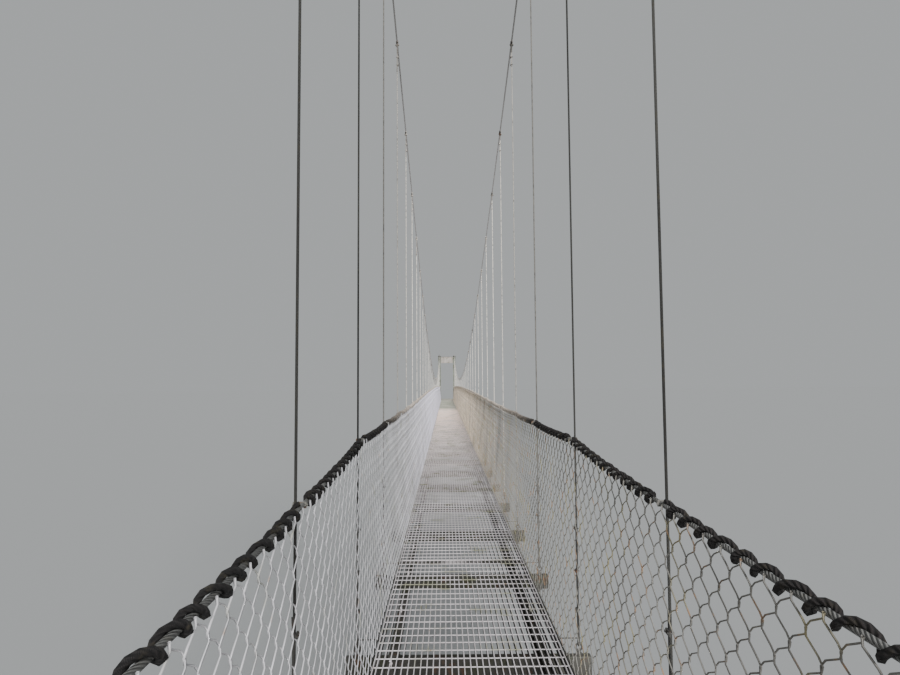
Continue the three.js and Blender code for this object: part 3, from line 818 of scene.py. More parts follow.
def rope_finish(name, dark, light, strands, lay, metallic, roughness, depth, painted_sun_and_tints=()):
    """Rope laid of strands, each of which goes once round in a lay's length.

    It reads where it is from the piece's own lay attribute: the cosine and sine of the angle round
    the rope, and the length along it. The grooves between the strands are painted darker, as
    painted shade. The tints along Y are given as for the weathered steel, and are painted sunlight
    on the far part of the bridge."""
    finish = Finish(name, metallic)
    attribute = finish.add("ShaderNodeAttribute", {"attribute_name": "lay"})
    across, beside, along = finish.parts(attribute.outputs["Vector"])
    angle = finish.maths("ARCTAN2", beside, across)
    turns = finish.maths("MULTIPLY", along, 2 * pi / lay)
    strand = finish.maths(
        "COSINE", finish.maths("MULTIPLY", finish.maths("SUBTRACT", angle, turns), strands))
    wires = finish.maths("COSINE", finish.maths(
        "MULTIPLY", finish.maths("MULTIPLY_ADD", turns, 1.6, angle), strands * 3))
    broad = finish.noise(1.7, 5)
    fine = finish.noise(70, 6)
    finish.base(finish.between(broad, 0.3, 0.7), dark, light)
    # The grooves between strands are painted darker: painted shade in them.
    finish.stain(
        finish.between(strand, -0.2, -0.95, 0, 0.85), tuple(0.3 * part for part in dark))
    finish.stain(finish.between(fine, 0.55, 0.8, 0, 0.5), (0.10, 0.085, 0.05))
    # Paler along Y: painted sunlight on the far part of the bridge.
    finish.fade(1, fine, painted_sun_and_tints)
    finish.bump(finish.maths("MULTIPLY_ADD", wires, 0.18, strand), depth)
    finish.bump(fine, depth * 0.5, 0.5)
    return finish.done(fine, *roughness)


# Its pale tint further out is painted sunlight on the far part of the cable.
CABLE_STEEL = rope_finish(
    "wire_rope", (0.20, 0.20, 0.185), (0.46, 0.455, 0.42), 6, 0.052, 0.4, (0.4, 0.65), 0.0008,
    [((0.86, 0.80, 0.78), NEAR_Y + 2.5, NEAR_Y + 5)])


def rope_tree():
    """A round rope along the base's lines, which stores its lay for the finish to read."""
    nodes, given = geometry_tree("rope", Radius="Float", Sides="Int", Finish="Material")
    spline = nodes.add("GeometryNodeSplineParameter")

    def kept(curve, label, value):
        """A curve that carries a value of its points with it, and that value."""
        capture = nodes.add("GeometryNodeCaptureAttribute")
        capture.capture_items.new("FLOAT", label)
        nodes.put(capture.inputs["Geometry"], curve)
        nodes.put(capture.inputs[label], value)
        return capture.outputs["Geometry"], capture.outputs[label]

    path, length = kept(
        nodes.add("GeometryNodeMeshToCurve", Mesh=given["Geometry"]), "Length",
        spline.outputs["Length"])
    ring, turn = kept(
        nodes.add(
            "GeometryNodeCurvePrimitiveCircle", Resolution=given["Sides"], Radius=given["Radius"]),
        "Turn", nodes.maths("MULTIPLY", spline.outputs["Factor"], 2 * pi))
    tube = nodes.add("GeometryNodeCurveToMesh", Curve=path, Profile_Curve=ring, Fill_Caps=True)
    lay = nodes.vector(nodes.maths("COSINE", turn), nodes.maths("SINE", turn), length)
    stored = nodes.add(
        "GeometryNodeStoreNamedAttribute", {"data_type": "FLOAT_VECTOR", "domain": "POINT"},
        Geometry=tube, Name="lay", Value=lay)
    smooth = nodes.add("GeometryNodeSetShadeSmooth", Geometry=stored)
    return close_tree(nodes, smooth, given["Finish"])


ROPE = rope_tree()


def end_route(end, x):
    """From the socket at the anchor to where the arc over the saddle runs into the span."""
    angle, centre_z = cable_over(end)
    along_stay = Vector((0, cos(BACKSTAY_SLOPE), sin(BACKSTAY_SLOPE)))
    points = [rod_foot(end, "left") + along_stay * (SOCKET[1] - 0.02)]
    for i in range(ARC_STEPS + 1):
        at = -BACKSTAY_SLOPE + (angle + BACKSTAY_SLOPE) * i / ARC_STEPS
        points.append(Vector((0, SADDLE_RADIUS * sin(at), centre_z + SADDLE_RADIUS * cos(at))))
    return [Matrix.Translation((x, 0, 0)) @ ENDS[end] @ point for point in points]


def cable_route(x):
    hung = [Vector((x, NEAR_Y + BAY * bay, cable_height(BAY * bay))) for bay in range(1, BAY_COUNT)]
    return end_route("near", x) + hung + end_route("far", x)[::-1]


for side, sign in SIDES.items():
    name = f"main_cable_{side}"
    mesh = grown(
        name, ROPE, lines(cable_route(sign * SIDE_X)), Radius=CABLE_RADIUS, Sides=12,
        Finish=CABLE_STEEL)
    settle(shown(f"{name}_rope", mesh), "cable_steel", name)

# Hangers: thinner wire rope from a clamp on the main cable down to an eye bolt in the end of each
# cross-beam, turned back round a thimble at both ends and held there by bulldog clips.

HANGER_RADIUS = 0.0025
EYE_LOOP = 0.034
FOOT_EYE = 0.020
TOP_PIN = 0.014
CLIP_STEPS = (0.115, 0.215, 0.325)
FOOT_TAIL = 0.355
TOP_CLIP_STEPS = (0.075, 0.115)
TOP_TAIL = 0.150
BEAM_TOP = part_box("hangers_left_1")[0].z - 0.0003
BEAM_DEPTH = 0.050

# Dark near the camera and pale further out: painted shade on the near hangers and painted sunlight
# on the far ones.
HANGER_STEEL = rope_finish(
    "hanger_rope", (0.024, 0.023, 0.021), (0.13, 0.127, 0.115), 6, 0.031, 0.3, (0.5, 0.8), 0.0005,
    [((0.97, 0.91, 0.82), NEAR_Y + 2.5, NEAR_Y + 5)])
# Also dark near and pale further out: painted shade near the camera and painted sunlight further
# out.
CLIP_STEEL = weathered_steel(
    "clips_and_eyes", (0.030, 0.028, 0.026), (0.10, 0.097, 0.088), (0.025, 0.024, 0.017),
    (0.10, 0.045, 0.022), (0.6, 0.5), (0.5, 0.85), 0.35, 60,
    [((0.62, 0.57, 0.51), NEAR_Y + 2, NEAR_Y + 6)])


def bulldog_clip(body, z):
    """A bridge cast across two ropes side by side along Y, with a U-bolt and two nuts."""
    spread = 2 * HANGER_RADIUS
    stud = spread + 0.0015
    body.box((-0.0052, -spread - 0.0045, z - 0.004), (-0.0022, spread + 0.0045, z + 0.004))
    body.swept([(x, y, z) for y, x in mirrored([
        (stud, -0.0065), (stud, 0.001), (spread * 0.5, 0.0042)])], 0.0012, 4)
    for y in (-stud, stud):
        body.turned((-0.0052, y, z), (-1, 0, 0), [(0, 0.0026), (0.0022, 0.0024)], 6)


def thimble_loop(body, pin_z, rise):
    """The rope's eye round a thimble, from a pin to where its two parts meet."""
    tip = pin_z + rise * EYE_LOOP
    bend = 0.0075
    angles = [pi * i / 6 for i in range(-6, 7) if -cos(pi * i / 6) < 0.75]
    loop = [(0, bend * sin(angle), pin_z - rise * bend * cos(angle)) for angle in angles]
    body.swept([(0, -HANGER_RADIUS, tip), *loop, (0, HANGER_RADIUS, tip)], HANGER_RADIUS)


def rope_end(body, first, rise, eye, clips, tail, bow):
    """A rope turned back round a thimble at a pin: the eye, the clips and the rope's loose tail."""
    thimble_loop(body, first, rise)
    for step in clips:
        bulldog_clip(body, rise * step)
    beside = HANGER_RADIUS * 2.04
    body.swept([
        (0, HANGER_RADIUS, rise * eye), (0, beside, rise * clips[0] - bow),
        (0, beside, rise * clips[-1]), tail], HANGER_RADIUS)


def hanger_foot():
    """Drawn from the top of a cross-beam's end, for the right side."""
    body = Body()
    body.rod((0, 0, -BEAM_DEPTH - 0.014), (0, 0, FOOT_EYE - 0.006), 0.0042, 10)
    for seat, rise in ((0, 1), (-BEAM_DEPTH, -1)):
        body.rod((0, 0, seat), (0, 0, seat + rise * 0.0016), 0.0095, 14)
        body.nut((0, 0, seat + rise * 0.0016), (0, 0, rise), 0.0076, 0.0055)
    body.swept(
        circle((0, 0, FOOT_EYE), (1, 0, 0), (0, 0, 1), 0.0085, 14), 0.0028, 6, wrap=True)
    rope_end(
        body, FOOT_EYE + 0.0105, 1, FOOT_EYE + EYE_LOOP, CLIP_STEPS,
        (0.001, HANGER_RADIUS * 3, FOOT_TAIL), 0.02)
    return body


def hanger_top():
    """Drawn from the main cable's middle line, for the right side."""
    body = Body()
    rope_end(
        body, -TOP_PIN - 0.003, -1, TOP_PIN + EYE_LOOP, TOP_CLIP_STEPS,
        (0.001, HANGER_RADIUS * 2.8, -TOP_TAIL), -0.01)
    return body


def cable_clamp():
    """Two half shells round the main cable, with ears below that a pin goes through."""
    body = Body()
    outer = CABLE_RADIUS + 0.0022
    arc = [radians(-82 + 164 * i / 8) for i in range(9)]
    for turn in (-1, 1):
        shell = [
            (radius * sin(a), turn * radius * cos(a))
            for radius, angles in ((outer, arc), (CABLE_RADIUS, arc[::-1])) for a in angles]
        body.prism(shell, 1, -0.013, 0.013)
        low_x, high_x = sorted((turn * 0.0026, turn * 0.0052))
        body.box((low_x, -0.008, -TOP_PIN - 0.007), (high_x, 0.008, -outer + 0.001), 0.0008)
        body.bolt((turn * 0.0052, 0, -TOP_PIN), (turn, 0, 0), 0.0024)
    body.rod((-0.006, 0, -TOP_PIN), (0.006, 0, -TOP_PIN), 0.0024, 10)
    return body


SECTION_BAYS = 12
SECTIONS = range(1, BAY_COUNT // SECTION_BAYS + 1)


def hanger_bays(section):
    last = min(section * SECTION_BAYS, BAY_COUNT - 1)
    return range((section - 1) * SECTION_BAYS + 1, last + 1)


for side, sign in SIDES.items():
    x = sign * SIDE_X
    for section in SECTIONS:
        bays = hanger_bays(section)
        name = f"hangers_{side}_{section}"
        feet = [Vector((x, NEAR_Y + BAY * bay, BEAM_TOP)) for bay in bays]
        tops = [Vector((x, NEAR_Y + BAY * bay, cable_height(BAY * bay))) for bay in bays]
        ropes = grown(
            name, ROPE, lines(*[
                (foot + Vector((0, 0, FOOT_EYE + EYE_LOOP)),
                 top - Vector((0, 0, TOP_PIN + EYE_LOOP - 0.002)))
                for foot, top in zip(feet, tops)]),
            Radius=HANGER_RADIUS, Sides=8, Finish=HANGER_STEEL)
        settle(shown(f"hanger_ropes_{side}_{section}", ropes), "cable_steel", name)
        slopes = [(atan(2 * CABLE_CURVE * (BAY * bay - CABLE_LOW_Y)), 0, 0) for bay in bays]
        fittings = joined(
            f"hanger_fittings_{side}_{section}", CLIP_STEEL,
            copies("feet", hanger_foot(), facing(feet, sign), CLIP_STEEL),
            copies("tops", hanger_top(), facing(tops, sign), CLIP_STEEL),
            copies("clamps", cable_clamp(), zip(tops, slopes), CLIP_STEEL))
        settle(fittings, "cable_steel")

# Deck frame: square-tube cross-beams, capped at their ends, under two channel stringers that are
# welded to them. The sections are joined by plates bolted to the stringers' webs.

BEAM_HALF_WIDTH = 0.0125
BEAM_CORNER = 0.003
BEAM_REACH = 0.320
END_BEAM_REACH = 0.2285
END_BEAM_FROM_TOWER = 0.150
STRINGER_X = 0.190
STRINGER_HALF_WIDTH = 0.010
STRINGER_STEEL = 0.0025
STRINGER_TOP = BEAM_TOP + 0.040
SPLICE_HALF_LENGTH = 0.060

# Its very dark tone is painted shade under the deck; its grime and rust stains are weathering.
FRAME_STEEL = weathered_steel(
    "weathered_deck_frame", (0.036, 0.034, 0.029), (0.088, 0.084, 0.072), (0.045, 0.050, 0.026),
    (0.085, 0.046, 0.027), (0.7, 0.5), (0.55, 0.9), 0.15)


def rounded(half_a, half_b, corner, steps=3):
    """A rectangle's outline with round corners."""
    outline = []
    for quarter, (turn_a, turn_b) in enumerate(((1, 1), (-1, 1), (-1, -1), (1, -1))):
        for i in range(steps + 1):
            angle = (quarter + i / steps) * pi / 2
            outline.append((
                turn_a * (half_a - corner) + corner * cos(angle),
                turn_b * (half_b - corner) + corner * sin(angle)))
    return outline


def deck_beam(reach):
    """A cross-beam drawn about its middle, with its top at zero."""
    body = Body()
    cap_reach = reach + 0.0012
    for inset, corner, spans in (
            (0, BEAM_CORNER, [(-reach, reach)]),
            (0.0022, 0.002, [(-cap_reach, 0.001 - reach), (reach - 0.001, cap_reach)])):
        outline = rounded(BEAM_HALF_WIDTH - inset, BEAM_DEPTH / 2 - inset, corner)
        for start, end in spans:
            body.prism([(y, z - BEAM_DEPTH / 2) for y, z in outline], 0, start, end)
    for turn in (-1, 1):
        for edge in (-1, 1):
            foot_x = turn * STRINGER_X + edge * STRINGER_HALF_WIDTH
            body.swept([
                (foot_x, BEAM_HALF_WIDTH * (i / 6 - 1), 0.0006 * (i % 2)) for i in range(1, 12)],
                0.0022)
    return body


def splice():
    """A plate on a stringer's web over a joint, with two bolts to each side of it."""
    body = Body()
    body.box(
        (0, -SPLICE_HALF_LENGTH, 0.006), (0.003, SPLICE_HALF_LENGTH, 0.034), 0.0006)
    for y in (-0.042, -0.018, 0.018, 0.042):
        body.bolt((0.003, y, 0.020), (1, 0, 0), 0.003)
    return body


def stringer_outline(sign):
    """A channel with its toes turned inwards, standing on the cross-beams."""
    half, steel = STRINGER_HALF_WIDTH, STRINGER_STEEL
    low, high = BEAM_TOP, STRINGER_TOP
    return [
        (z, sign * (STRINGER_X + x)) for z, x in (
            (low, half), (high, half), (high, -half), (high - steel, -half),
            (high - steel, half - steel), (low + steel, half - steel), (low + steel, -half),
            (low, -half))]


for section in SECTIONS:
    name = f"deck_frame_{section}"
    low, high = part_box(name)
    stringers = Body()
    for sign in SIDES.values():
        stringers.prism(stringer_outline(sign), 1, low.y + 0.001, high.y - 0.001)
    beams = facing([(0, NEAR_Y + BAY * bay, BEAM_TOP) for bay in hanger_bays(section)], 1)
    parts = [(deck_beam(BEAM_REACH), beams)]
    end_y = {
        1: NEAR_Y + END_BEAM_FROM_TOWER, SECTIONS[-1]: FAR_Y - END_BEAM_FROM_TOWER}.get(section)
    if end_y is not None:
        parts.append((deck_beam(END_BEAM_REACH), facing([(0, end_y, BEAM_TOP)], 1)))
    if section != SECTIONS[-1]:
        parts.append((splice(), [
            ((sign * (STRINGER_X + STRINGER_HALF_WIDTH), high.y, BEAM_TOP), outward(sign))
            for sign in SIDES.values()]))
    frame_mesh = joined(
        f"{name}_welded", FRAME_STEEL, stringers.mesh(name),
        *[copies(name, body, places, FRAME_STEEL) for body, places in parts])
    settle(frame_mesh, "frame_steel", name)

# Deck grating: flat bars on edge along the deck with round rods pressed through them, in panels
# that end in a flat across. A separate flat trims each side, and clips hold the bars down.

BAR_COUNT = 31
BAR_STEEL = 0.0022
ROD_PITCH = 0.050
ROD_THICKNESS = 0.0028
TRIM_GAP = 0.0085
PANEL_LENGTH = BAY * 4
CLIP_STEP = 0.375

# Paler warm beige further out: painted sunlight on the far deck. Between 17 and 19 m past the near
# tower it turns a darker green-grey. The bars are darker a few millimetres below their tops:
# painted shade down their sides.
GRATING_STEEL = weathered_steel(
    "mossy_galvanised_grating", (0.54, 0.50, 0.505), (0.84, 0.79, 0.805), (0.30, 0.30, 0.17),
    (0.36, 0.24, 0.15), (0.55, 0.36), (0.45, 0.7), 0.1, 120,
    [((0.92, 0.72, 0.61), NEAR_Y + 4, NEAR_Y + 14),
     ((0.24, 0.26, 0.20), NEAR_Y + 17, NEAR_Y + 19)],
    [((0.045, 0.043, 0.036), DECK_TOP - 0.0024, DECK_TOP - 0.0044)])


def grating(low, high, first_panel):
    """The bodies of a stretch of deck, each with its places: bars and side trims, rods, and the
    flats at the panels' ends."""
    half_steel, half_rod = BAR_STEEL / 2, ROD_THICKNESS / 2
    half_length, half_depth = (high.y - low.y) / 2, (high.z - low.z) / 2
    trim_x = high.x - half_steel
    bar_x = trim_x - TRIM_GAP
    middle_y, middle_z = low.y + half_length, high.z - half_depth
    bar, rod, flat = Body(), Body(), Body()
    bar.box((-half_steel, -half_length, -half_depth), (half_steel, half_length, half_depth))
    rod.prism(
        [(half_rod * sin(pi * i / 3), half_rod * cos(pi * i / 3)) for i in range(6)],
        0, -high.x, high.x)
    flat.box((-bar_x, -half_steel, -half_depth), (bar_x, half_steel, half_depth))
    bars = [bar_x * (2 * i / (BAR_COUNT - 1) - 1) for i in range(BAR_COUNT)]
    first_rod = ceil(low.y / ROD_PITCH)
    rods = range(first_rod, first_rod + int(high.y / ROD_PITCH - first_rod))
    flats = range(1 + int((high.y - first_panel) / PANEL_LENGTH))
    return (
        (bar, [(x, middle_y, middle_z) for x in [*bars, -trim_x, trim_x]]),
        (rod, [(0, ROD_PITCH * i, high.z - 1.5 * half_rod) for i in rods]),
        (flat, [(0, first_panel + half_steel + PANEL_LENGTH * i, middle_z) for i in flats]))


def grating_clip():
    """A bent strap on edge between two bars with a bolt down beside it, drawn about the deck's
    top."""
    body = Body()
    body.prism(mirrored([
        (0.009, 0.0012), (0.009, -0.004), (0.0075, -0.004), (0.0075, -0.0002)]),
        1, -0.006, 0.006)
    body.rod((0, 0, -0.014), (0, 0, 0.001), 0.0018, 8)
    body.bolt((0, 0, 0.0010), (0, 0, 1), 0.0017)
    return body


for section in SECTIONS:
    name = f"deck_grating_{section}"
    low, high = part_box(name)
    joint = NEAR_Y + BAY * SECTION_BAYS * (section - 1)
    clips = [
        (sign * (STRINGER_X - 0.0035), joint + CLIP_STEP * (i + 0.5), high.z)
        for i in range(ceil((high.y - joint) / CLIP_STEP - 0.5)) for sign in SIDES.values()]
    parts = [*grating(low, high, max(joint, low.y)), (grating_clip(), clips)]
    bars = joined(f"{name}_bars", GRATING_STEEL, *[
        copies(name, body, facing(points, 1), GRATING_STEEL) for body, points in parts])
    settle(bars, "grating_steel", name)

# Handrails: a grey steel cable tied to every hanger with a clip, and between them wound with dark
# rope that laces it to the top of the mesh. Further out the rope is painted paler, as painted
# sunlight.

RAIL_RADIUS = 0.0038
# The rail's height above the deck at some of the hangers, by bay. It is straight between them.
RAIL_HEIGHTS = (
    (0, 0.450), (1, 0.452), (2, 0.467), (3, 0.505), (6, 0.512), (12, 0.557), (20, 0.585),
    (28, 0.575), (36, 0.530))
RAIL_SAG = 0.006
RAIL_X = abs(middle_of("handrail_right").x)
LACE_RADIUS = 0.0041
LACE_PITCH = 0.054
LACE_STEPS = 9
BARE_BY_HANGER = 0.026
TOWER_FACE = LEG_HALF_DEPTH + 0.0003

RAIL_STEEL = rope_finish(
    "rail_cable", (0.13, 0.13, 0.125), (0.36, 0.355, 0.34), 6, 0.046, 0.35, (0.4, 0.7), 0.0007)
# Pale further out: painted sunlight on the far lacing.
LACING = rope_finish(
    "dark_lacing_rope", (0.006, 0.005, 0.005), (0.024, 0.018, 0.017), 3, 0.022, 0.0, (0.75, 0.95),
    0.0009, [((0.68, 0.59, 0.50), NEAR_Y + 2.9, NEAR_Y + 4.7)])


def rail_height(y):
    """The height of the rail, which hangs a little between the hangers that it is tied to."""
    bays = y / BAY
    for (start, low), (end, high) in zip(RAIL_HEIGHTS, RAIL_HEIGHTS[1:]):
        if bays <= end:
            break
    straight = low + (high - low) * (bays - start) / (end - start)
    return DECK_TOP + straight - RAIL_SAG * 4 * (bays % 1) * (1 - bays % 1)


def rail_rise(nodes, y):
    """The rail's height above the deck in a tree, with a Map Range for each straight stretch."""
    bays = nodes.maths("DIVIDE", nodes.maths("SUBTRACT", y, NEAR_Y), BAY)
    rise = RAIL_HEIGHTS[0][1]
    for (start, low), (end, high) in zip(RAIL_HEIGHTS, RAIL_HEIGHTS[1:]):
        rise = nodes.maths("ADD", rise, nodes.between(bays, start, end, 0, high - low))
    in_bay = nodes.maths("FRACT", bays)
    swing = nodes.maths("MULTIPLY", in_bay, nodes.maths("SUBTRACT", 1.0, in_bay))
    return nodes.maths("SUBTRACT", rise, nodes.maths("MULTIPLY", 4 * RAIL_SAG, swing))


def repeated(nodes, given, shape):
    """Copies of a shape at even steps along the span, made real, and their points' places."""
    feet = nodes.add(
        "GeometryNodeMeshLine", Count=given["Count"], Start_Location=given["First"],
        Offset=nodes.vector(0.0, given["Step"], 0.0))
    placed = nodes.add("GeometryNodeInstanceOnPoints", Points=feet, Instance=shape)
    return (
        nodes.add("GeometryNodeRealizeInstances", Geometry=placed),
        nodes.parts(nodes.add("GeometryNodeInputPosition")))


def rail_route(x):
    steps = BAY_COUNT * 4
    points = [TOWER_FACE] + [SPAN * i / steps for i in range(1, steps)] + [SPAN - TOWER_FACE]
    return [(x, NEAR_Y + y, rail_height(y)) for y in points]


def lace_route(sign):
    """One bay's lacing, drawn about the rail's middle line from the hanger at its near end. It
    winds down the rail's inner side on its way to the far end, through the mesh's top edge."""
    length = BAY - 2 * BARE_BY_HANGER
    steps = round(length / LACE_PITCH) * LACE_STEPS
    points = []
    for i in range(steps + 1):
        turns = i / LACE_STEPS
        angle = 2 * pi * turns
        wander = 0.5 + 0.5 * sin(1.7 * turns + 0.6) * cos(0.53 * turns)
        reach = RAIL_RADIUS + LACE_RADIUS * (0.9 + 0.3 * wander)
        along = BARE_BY_HANGER + length * i / steps + LACE_PITCH * 0.06 * sin(angle) * wander
        points.append((-sign * reach * sin(angle), along, reach * cos(angle)))
    return points


def lacing_tree():
    """A rope along the base's line, copied at even steps and ruffled so that no two look alike."""
    nodes, given = geometry_tree(
        "lacing", Radius="Float", First="Vector", Step="Float", Count="Int", Finish="Material")
    rope = nodes.add(
        "GeometryNodeGroup", {"node_tree": ROPE}, Geometry=given["Geometry"],
        Radius=given["Radius"], Sides=5, Finish=given["Finish"])
    real, place = repeated(nodes, given, rope)
    lifted = nodes.add(
        "GeometryNodeSetPosition", Geometry=real,
        Offset=nodes.vector(0.0, 0.0, rail_rise(nodes, place[1])))
    ruffle = nodes.add(
        "ShaderNodeTexNoise", {"noise_dimensions": "3D"}, Scale=9.0, Detail=1.0).outputs["Color"]
    for operation, part in (("SUBTRACT", (0.5, 0.5, 0.5)), ("MULTIPLY", (0.004, 0.060, 0.004))):
        ruffle = nodes.ordered("ShaderNodeVectorMath", {"operation": operation}, ruffle, part)
    moved = nodes.add("GeometryNodeSetPosition", Geometry=lifted, Offset=ruffle)
    return close_tree(nodes, moved, given["Finish"])


LACED = lacing_tree()


def rail_clip():
    """A U-bolt and bridge that tie the rail to the hanger outside it, drawn about the rail."""
    body = Body()
    away = SIDE_X - RAIL_X
    left, right = -0.0048, away + 0.0038
    body.box((-0.0055, -0.0052, -0.005), (away + 0.0050, -0.0034, 0.005))
    body.swept([(x, y, 0) for x, y in (
        (left, -0.0072), (left, 0.0015), (-0.0020, 0.0044), (away + 0.0005, 0.0040),
        (right, 0.0012), (right, -0.0072))], 0.0015, 5)
    for x in (left, right):
        body.turned((x, -0.0052, 0), (0, -1, 0), [(0, 0.0030), (0.0024, 0.0028)], 6)
    return body


def rail_end():
    """A plate across a leg's channels, with a nut and a sleeve that hold the rail's end."""
    body = Body()
    middle = SIDE_X - RAIL_X
    reach = CHANNEL_HALF_WIDTH - 0.016
    body.box(
        (middle - reach, -BATTEN_STEEL, -0.022), (middle + reach, 0.0008, 0.022), 0.0008)
    body.nut((0, 0.0008, 0), (0, 1, 0), 0.0092, 0.007)
    body.turned((0, 0.0078, 0), (0, 1, 0), [
        (0, 0.0062), (0.003, 0.0068), (0.028, 0.0066), (0.036, 0.0040)], 14)
    for turn in (-1, 1):
        body.bolt((middle + turn * (reach - 0.009), 0.0008, 0), (0, 1, 0), 0.0028)
    return body


def on_each_leg(name, draw, x, heights, slot):
    """Puts a fitting on each leg's face, at its end's height. It is drawn for the right, with the
    span towards +Y."""
    for end, side, stand, sign in corners():
        place = Matrix.Translation((sign * x, LEG_HALF_DEPTH, heights[end]))
        fitting = draw().moved(stand @ place @ Matrix.Scale(sign, 4, (1, 0, 0)))
        if sign < 0:
            bmesh.ops.reverse_faces(fitting.bm, faces=fitting.bm.faces)
        settle(shown(f"{end}_{name}_{side}", fitting.mesh(name), CLIP_STEEL), slot)


rail_ends = {"near": rail_height(TOWER_FACE), "far": rail_height(SPAN - TOWER_FACE)}
on_each_leg("rail_end", rail_end, RAIL_X, rail_ends, "laced_rail")

for side, sign in SIDES.items():
    name = f"handrail_{side}"
    x = sign * RAIL_X
    cable = grown(
        name, ROPE, lines(rail_route(x)), Radius=RAIL_RADIUS, Sides=10, Finish=RAIL_STEEL)
    settle(shown(f"{name}_cable", cable), "laced_rail", name)
    lace = grown(
        f"{name}_lacing", LACED, lines(lace_route(sign)), Radius=LACE_RADIUS,
        First=(x, NEAR_Y, DECK_TOP), Step=BAY, Count=BAY_COUNT, Finish=LACING)
    settle(shown(f"{name}_lacing", lace), "laced_rail")
    points = [(x, NEAR_Y + BAY * bay, rail_height(BAY * bay)) for bay in range(1, BAY_COUNT)]
    clips = copies(f"{name}_clips", rail_clip(), facing(points, sign), FITTING_STEEL)
    settle(shown(f"{name}_clips", clips), "laced_rail")

# Side mesh: chain-link fabric of zinc-coated wire. Each wire zigzags up the fabric and hooks
# round its neighbours at every bend. Its top edge is laced to the rail's inner side, and it leans
# in to its foot by the deck, where rings tie it to a toe cable that rods hold to the hangers.

WIRE_RADIUS = 0.0012
WIRE_PITCH = 0.0275
WIRE_REACH = 0.0150
BEND_RISE = 0.0246
BENDS = 20
HOOK = 0.0048
SHARP_BEND = ((-1, 1.0), (1, 1.0))
ROUND_BEND = ((-1.5, 0.70), (0, 1.0), (1.5, 0.70))
MESH_HALF_DEPTH = 0.0016
MESH_ABOVE_RAIL = 0.003
TOE_RADIUS = 0.0024
TIE_STEP = 0.110
TIE_EYE = 0.0042
TOE_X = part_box("hangers_right_1")[0].x + TOE_RADIUS
TOE_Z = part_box("deck_grating_1")[0].z + TOE_RADIUS
MESH_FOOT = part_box("side_mesh_right_1")[0].z

# The right side's wires are darker than the left's: painted shade on that side, with rust and
# lichen stains too. Both sides turn paler further out: painted sunlight.
MESH_WIRES = {
    "left": weathered_steel(
        "zinc_mesh_wire", (0.50, 0.49, 0.50), (0.77, 0.755, 0.78), (0.38, 0.38, 0.29),
        (0.46, 0.33, 0.24), (0.45, 0.35), (0.4, 0.65), 0.1, 30,
        [((0.80, 0.76, 0.88), NEAR_Y + 3, NEAR_Y + 9)]),
    "right": weathered_steel(
        "rusting_mesh_wire", (0.17, 0.16, 0.145), (0.38, 0.365, 0.33), (0.38, 0.33, 0.17),
        (0.43, 0.26, 0.15), (0.6, 0.55), (0.5, 0.8), 0.1, 30,
        [((0.84, 0.70, 0.56), NEAR_Y + 3, NEAR_Y + 9)])}


def mesh_wire(y, phase, inner, bend):
    """The line of one wire: up towards the far end on its inner side, and back on its outer one.

    A bend's points are given as counts of the hook's height and shares of the wire's reach."""
    points = []
    for i in range(BENDS + 1):
        turn = 1 if (i + phase) % 2 == 0 else -1
        for rise, share in bend:
            z = i * BEND_RISE + rise * HOOK
            if 0 <= z <= BENDS * BEND_RISE:
                depth = inner * MESH_HALF_DEPTH * turn * ((rise < 0) - (rise > 0))
                points.append((depth, y + turn * share * WIRE_REACH, z))
    return points


def mesh_tree():
    """The base's wires made round, copied along a side, leant out and stretched up to the rail."""
    nodes, given = geometry_tree(
        "chain_link", Radius="Float", First="Vector", Step="Float", Count="Int", Lean="Float",
        Height="Float", Finish="Material")
    tube = nodes.add(
        "GeometryNodeCurveToMesh",
        Curve=nodes.add("GeometryNodeMeshToCurve", Mesh=given["Geometry"]),
        Profile_Curve=nodes.add(
            "GeometryNodeCurvePrimitiveCircle", Resolution=3, Radius=given["Radius"]))
    smooth = nodes.add("GeometryNodeSetShadeSmooth", Geometry=tube)
    real, place = repeated(nodes, given, smooth)
    share = nodes.maths("DIVIDE", nodes.maths("SUBTRACT", place[2], MESH_FOOT), given["Height"])
    top = nodes.maths("ADD", rail_rise(nodes, place[1]), DECK_TOP + MESH_ABOVE_RAIL - MESH_FOOT)
    stretch = nodes.maths("SUBTRACT", top, given["Height"])
    moved = nodes.add(
        "GeometryNodeSetPosition", Geometry=real, Offset=nodes.vector(
            nodes.maths("MULTIPLY", share, given["Lean"]), 0.0,
            nodes.maths("MULTIPLY", share, stretch)))
    return close_tree(nodes, moved, given["Finish"])


CHAIN_LINK = mesh_tree()


def tie_ring():
    """A wire ring that ties the fabric's foot to the toe cable, drawn about the toe cable."""
    body = Body()
    rise = (MESH_FOOT - TOE_Z) / 2
    body.swept([
        (TIE_EYE * cos(a), 0.0014 * sin(2 * a), rise + (TIE_EYE + rise) * sin(a))
        for a in (2 * pi * i / 9 for i in range(9))], 0.0008, 3, wrap=True)
    return body


def toe_tie():
    """A rod with an eye round the toe cable, where it is drawn about, and one round a hanger."""
    body = Body()
    reach = SIDE_X - TOE_X
    for x, beside in ((0, (0, 0, 1)), (reach, (0, 1, 0))):
        body.swept(circle((x, 0, 0), (1, 0, 0), beside, TIE_EYE, 10), 0.0013, 4, wrap=True)
    body.swept([(TIE_EYE, 0, 0), (reach - TIE_EYE, 0, 0)], 0.0018)
    return body


def toe_cleat():
    """A flat bolted to a tower leg that the toe cable ends on, drawn about its foot on the leg."""
    body = Body()
    reach = SIDE_X - TOE_X
    body.box((-0.006, 0.0003, -0.0065), (reach + 0.006, 0.0045, 0.0065), 0.0006)
    body.turned((0, 0.0045, 0), (0, 1, 0), [(0, 0.0050), (0.016, 0.0048), (0.024, 0.0032)], 12)
    for x in (0.45, 0.85):
        body.bolt((reach * x, 0.0045, 0), (0, 1, 0), 0.0022)
    return body


mesh_lean = RAIL_X - TOE_X - RAIL_RADIUS - WIRE_RADIUS - MESH_HALF_DEPTH

